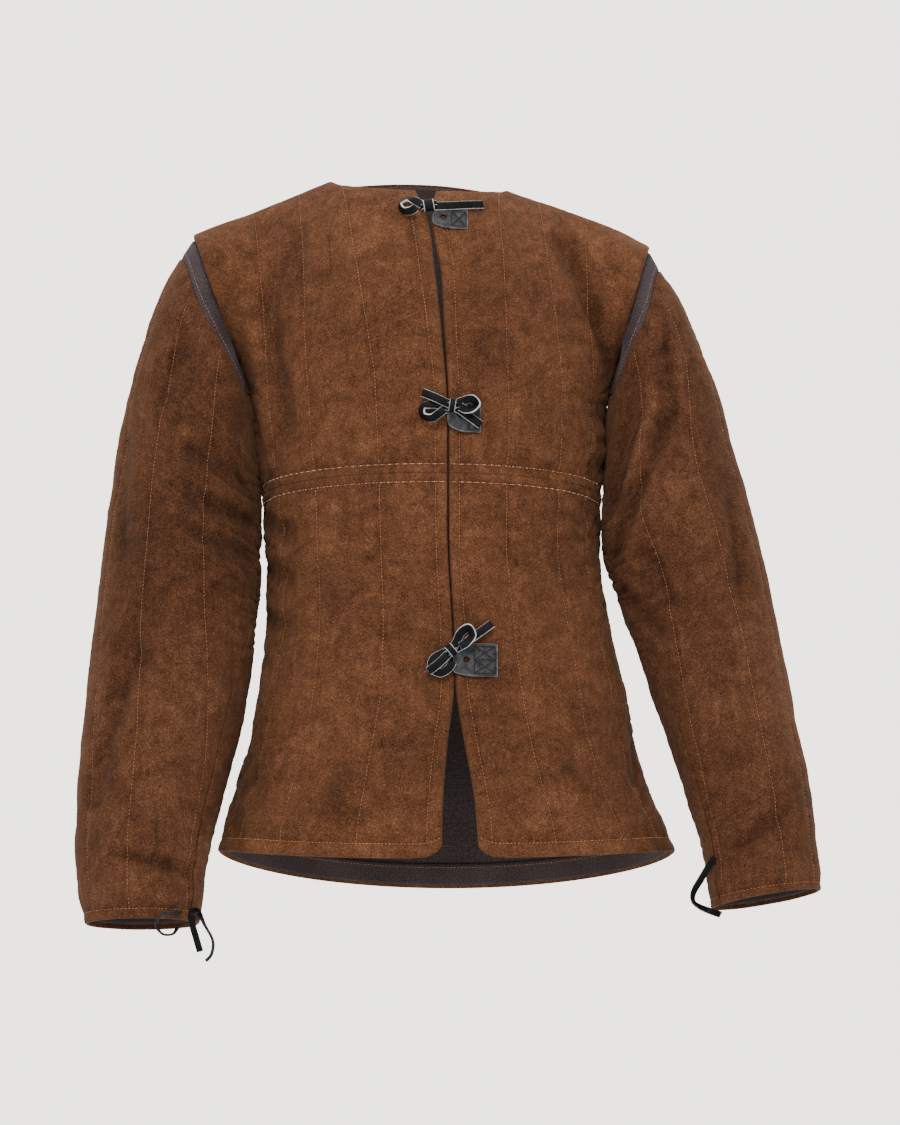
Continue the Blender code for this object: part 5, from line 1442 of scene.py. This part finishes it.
def makePanels(looks, panel, word, find, columns, shares, across):
    # chest and skirt of a front or the back with their stitching; pale dots beside the waist
    # seam where the under thread shows
    waist, hem = body["waistLevels"], body["hemLevel"]
    gap, chest = body["seamGap"], body["chestZ"] - body["waistZ"]
    chestRows = np.concatenate((
        laidOut((gap / chest, waist[1], 1.0), chest, body["cell"])[:-1],
        laidOut((1.0, sewing["suedeTop"]), body["shoulderLong"], body["cell"])))
    skirtRows = laidOut((-1.0, hem, body["joinLevel"], waist[0], -gap / body["skirtLong"]),
                        body["skirtLong"], body["cell"])
    side = f"_{word.lower()}" if word else ""
    for rows, piece in ((chestRows, "Chest"), (skirtRows, "Skirt")):
        suedeWall(f"{panel}{piece}{word}", find, columns, rows, looks["bodySuede"],
                  f"{panel}_{piece.lower()}{side}")
    spans = (np.linspace(waist[1] + sewing["clearAbove"], *sewing["chestEnd"]),
             np.linspace(hem, waist[0] - sewing["clearBelow"], sewing["skirtPlaces"]))
    title = panel.capitalize() + word
    threadMesh(f"stitch{title}",
               [stitchOn(find, share, span) for share in shares for span in spans],
               looks["tanThread"])
    for kind, levels, name, look in (("line", (*waist, hem), "Row", "rowThread"),
                                     ("dot", waist, "Dot", "paleThread")):
        threadMesh(f"stitch{name}{title}", [stitchOn(find, across, level, kind)
                                            for level in levels], looks[look])


def makeBody(looks):
    lining, width = looks["liningCanvas"], body["panelWidth"]
    edge = body["seamGap"] / width
    liningRows = np.unique(np.concatenate([np.linspace(*span) for span in linings["levels"]]))
    for side, word in ((-1.0, "Right"), (1.0, "Left")):
        shares = body["frontLines"][1:-1]
        columns = laidOut((0.0, *shares, 1.0 - edge), width, body["cell"])
        makePanels(looks, "front", word, frontFinder(side), columns, shares,
                   np.linspace(*sewing["frontRows"]))
        liningWall(f"liningFront{word}", frontWall(side), np.linspace(*linings["front"]),
                   liningRows, body["liningGap"], 2, lining, f"lining_front_{word.lower()}")
    halves = body["backLines"][:-1]
    half = laidOut((*halves, 1.0 - edge), width, body["cell"]) / 2
    shares = [share for line in halves for share in {0.5 - line / 2, 0.5 + line / 2}]
    makePanels(looks, "back", "", wallFinder(backWall, backPad),
               np.concatenate((0.5 - half[::-1], 0.5 + half[1:])), shares,
               np.linspace(*sewing["backRows"]))
    columns = np.linspace(*linings["back"])
    liningWall("liningBack", backWall, columns, liningRows, body["liningGap"], 2, lining,
               "lining_back")
    liningWall("hemFacing", backWall, columns, np.linspace(*linings["facingLevels"]),
               body["facingGap"], 1, lining, "hem_facing")
    outer, inner = liningFaces(backWall, np.linspace(*sewing["facingRow"]),
                               body["facingLevel"], body["facingGap"])
    threadMesh("stitchFacing", [stitchesAlong(inner, unit(inner - outer))],
               looks["tanThread"])


def makeSleeves(looks):
    for word in ("right", "left"):
        title, stitching = word.capitalize(), []
        for piece, arcOf in (("Outer", outerArc(word)), ("Under", underArc)):
            channels = sleeve[piece.lower() + "Channels"]
            width = math.radians(sleeve[piece.lower() + "Span"]) * sleeve["arc"]
            find = sleeveFinder(word, arcOf, channels, sleeve["seeds"][word] + len(piece))
            gap, lines = body["seamGap"] / width, np.linspace(0, 1, channels + 1)[1:-1]
            columns = laidOut((gap, *lines, 1 - gap), width, sleeve["cell"])
            rows = laidOut((sewing["sleeveTop"], sleeve["cuffRun"], 1.0), sleeve["length"],
                           sleeve["cell"])
            suedeWall(f"sleeve{piece}{title}", find, columns, rows, looks["sleeveSuede"],
                      f"sleeve_{piece.lower()}_{word}")
            whole = np.linspace(sewing["sleeveStart"], sleeve["cuffRun"], sewing["sleevePlaces"])
            stitching += [stitchOn(find, line, whole) for line in lines]
            stitching.append(stitchOn(find, np.linspace(*sewing["cuffRow"]), sleeve["cuffRun"]))
        threadMesh(f"stitchSleeve{title}", stitching, looks["tanThread"])
        makeCuffLining(word, looks["liningCanvas"])
        makeBand(word, looks)


def makeCuffLining(word, material):
    rows, walls = np.linspace(*linings["cuffRuns"]), []
    for arcOf, shares in ((outerArc(word), np.linspace(*linings["cuffOuter"])),
                          (underArc, np.linspace(*linings["cuffUnder"])[1:-1])):
        walls.append(liningFaces(sleeveWall(word, arcOf), shares[:, None], rows,
                                 body["liningGap"]))
    outer, inner = (np.concatenate(faces) for faces in zip(*walls))
    dress(loopWall(f"cuffLining{word.capitalize()}", outer, inner, material),
          [f"cuff_lining_{word}"])


bandLook = {
    "thick": 2.2 * mm, "swell": 0.5 * mm, "start": 0.4 * mm,
    "edgeShare": 0.45,                   # of its thickness left at its edges
    "rumple": 0.25 * mm, "rumpleSize": 14 * mm, "seed": 5,
    "top": -0.022, "foot": 0.0034,       # its free part starts and it ends here, in sleeve lengths
    "freeFront": 94, "freeBack": 78, "freeOver": 38,   # degrees from the shoulder point
    "tackTurns": (92, 268),              # bar tacks where it leaves the body
    "step": 3.0, "columns": 11, "stitchColumn": 7,
}


def makeBand(word, looks):
    # canvas strip along the armhole's edge over the shoulder, free of it under the arm
    side = -1.0 if word == "right" else 1.0
    turns = np.radians(np.arange(0, 360, bandLook["step"]))
    level = np.clip(1 + np.arcsin((1 + np.cos(turns)) / 2) * 2 / math.pi, 1, 2 - 0.004)
    isFront = ((turns > 0) & (turns <= math.pi))[:, None]
    backShare, within = (0.0 if side > 0 else 1.0), 0.004
    found = []
    for wall, share, near in ((frontWall(side), 1.0, 1 - within),
                              (backWall, backShare, abs(backShare - within))):
        points = wall[0](share, level)
        away = unit(points - wall[0](near, level))
        found.append((points, wallFinder(wall)(share, level)[2], away))
    edge, edgeNormal, away = (np.where(isFront, a, b) for a, b in zip(*found))
    wall, degrees = sleeveWall(word, lambda share, run: share), np.degrees(turns)
    (start, startNormal), (end, endNormal) = (
        (wall[0](turns, run), wallFinder(wall)(turns, run)[2])
        for run in (bandLook["top"] - headCut(degrees), bandLook["foot"]))
    freeFrom = np.where(turns > math.pi, bandLook["freeBack"], bandLook["freeFront"])
    fromTop = np.minimum(degrees, 360 - degrees)
    free = easeIn((fromTop - freeFrom) / bandLook["freeOver"])[:, None]
    first = (edge + away * bandLook["start"]) * (1 - free) + start * free
    firstNormal = edgeNormal * (1 - free) + startNormal * free
    across = np.linspace(0, 1, bandLook["columns"])
    inner = first[:, None] + (end - first)[:, None] * across[None, :, None]
    normal = unit(firstNormal[:, None] + (endNormal - firstNormal)[:, None] * across[None, :, None])
    rise = np.sqrt(np.clip(1 - np.abs(2 * across - 1) ** 5, 0, 1))
    left = bandLook["edgeShare"]
    pad = (bandLook["thick"] + bandLook["swell"]) * (left + (1 - left) * rise)
    outer = inner + normal * pad[None, :, None]
    rumple = softNoise(outer, bandLook["rumpleSize"], bandLook["seed"])
    outer += normal * (bandLook["rumple"] * rumple)[..., None]
    title, column = word.capitalize(), bandLook["stitchColumn"]
    dress(loopWall(f"sleeveBand{title}", outer, inner, looks["bandCanvas"]),
          [f"sleeve_band_{word}"])
    rows = [stitchesAlong(*(np.concatenate((grid[:, column], grid[:1, column]))
                            for grid in (outer, normal)))]
    for turn in bandLook["tackTurns"]:
        k = int(round(turn / bandLook["step"]))
        rows += [stitchesAlong(outer[j, 1:10], normal[j, 1:10]) for j in (k, k + 1)]
    threadMesh(f"stitchBand{title}", rows, looks["tanThread"])


makeCamera()
makeLights()
makeFloor()
looks = {}
for make, names, group in (
        (makeSuede, suede["colours"], makeGroup("suedeSurface", suedeSurface)),
        (makeCanvas, canvas["colours"], makeGroup("canvasWeave", canvasWeave)),
        (makeLeather, leather["looks"], makeGroup("leatherGrain", leatherGrain))):
    looks.update({name: make(name, group) for name in names})
looks.update({name: makeThread(name) for name in threadLook["colours"]})
print("camera, lights and materials ready")
makeTies(looks)
makeKnots(looks)
makeTabs(looks)
print("tabs and ties made")
makeBody(looks)
print("body made")
makeSleeves(looks)
print("sleeves made")

triangles = sum(len(p.vertices) - 2 for thing in made.values() for p in thing.data.polygons)
print("triangles", triangles)
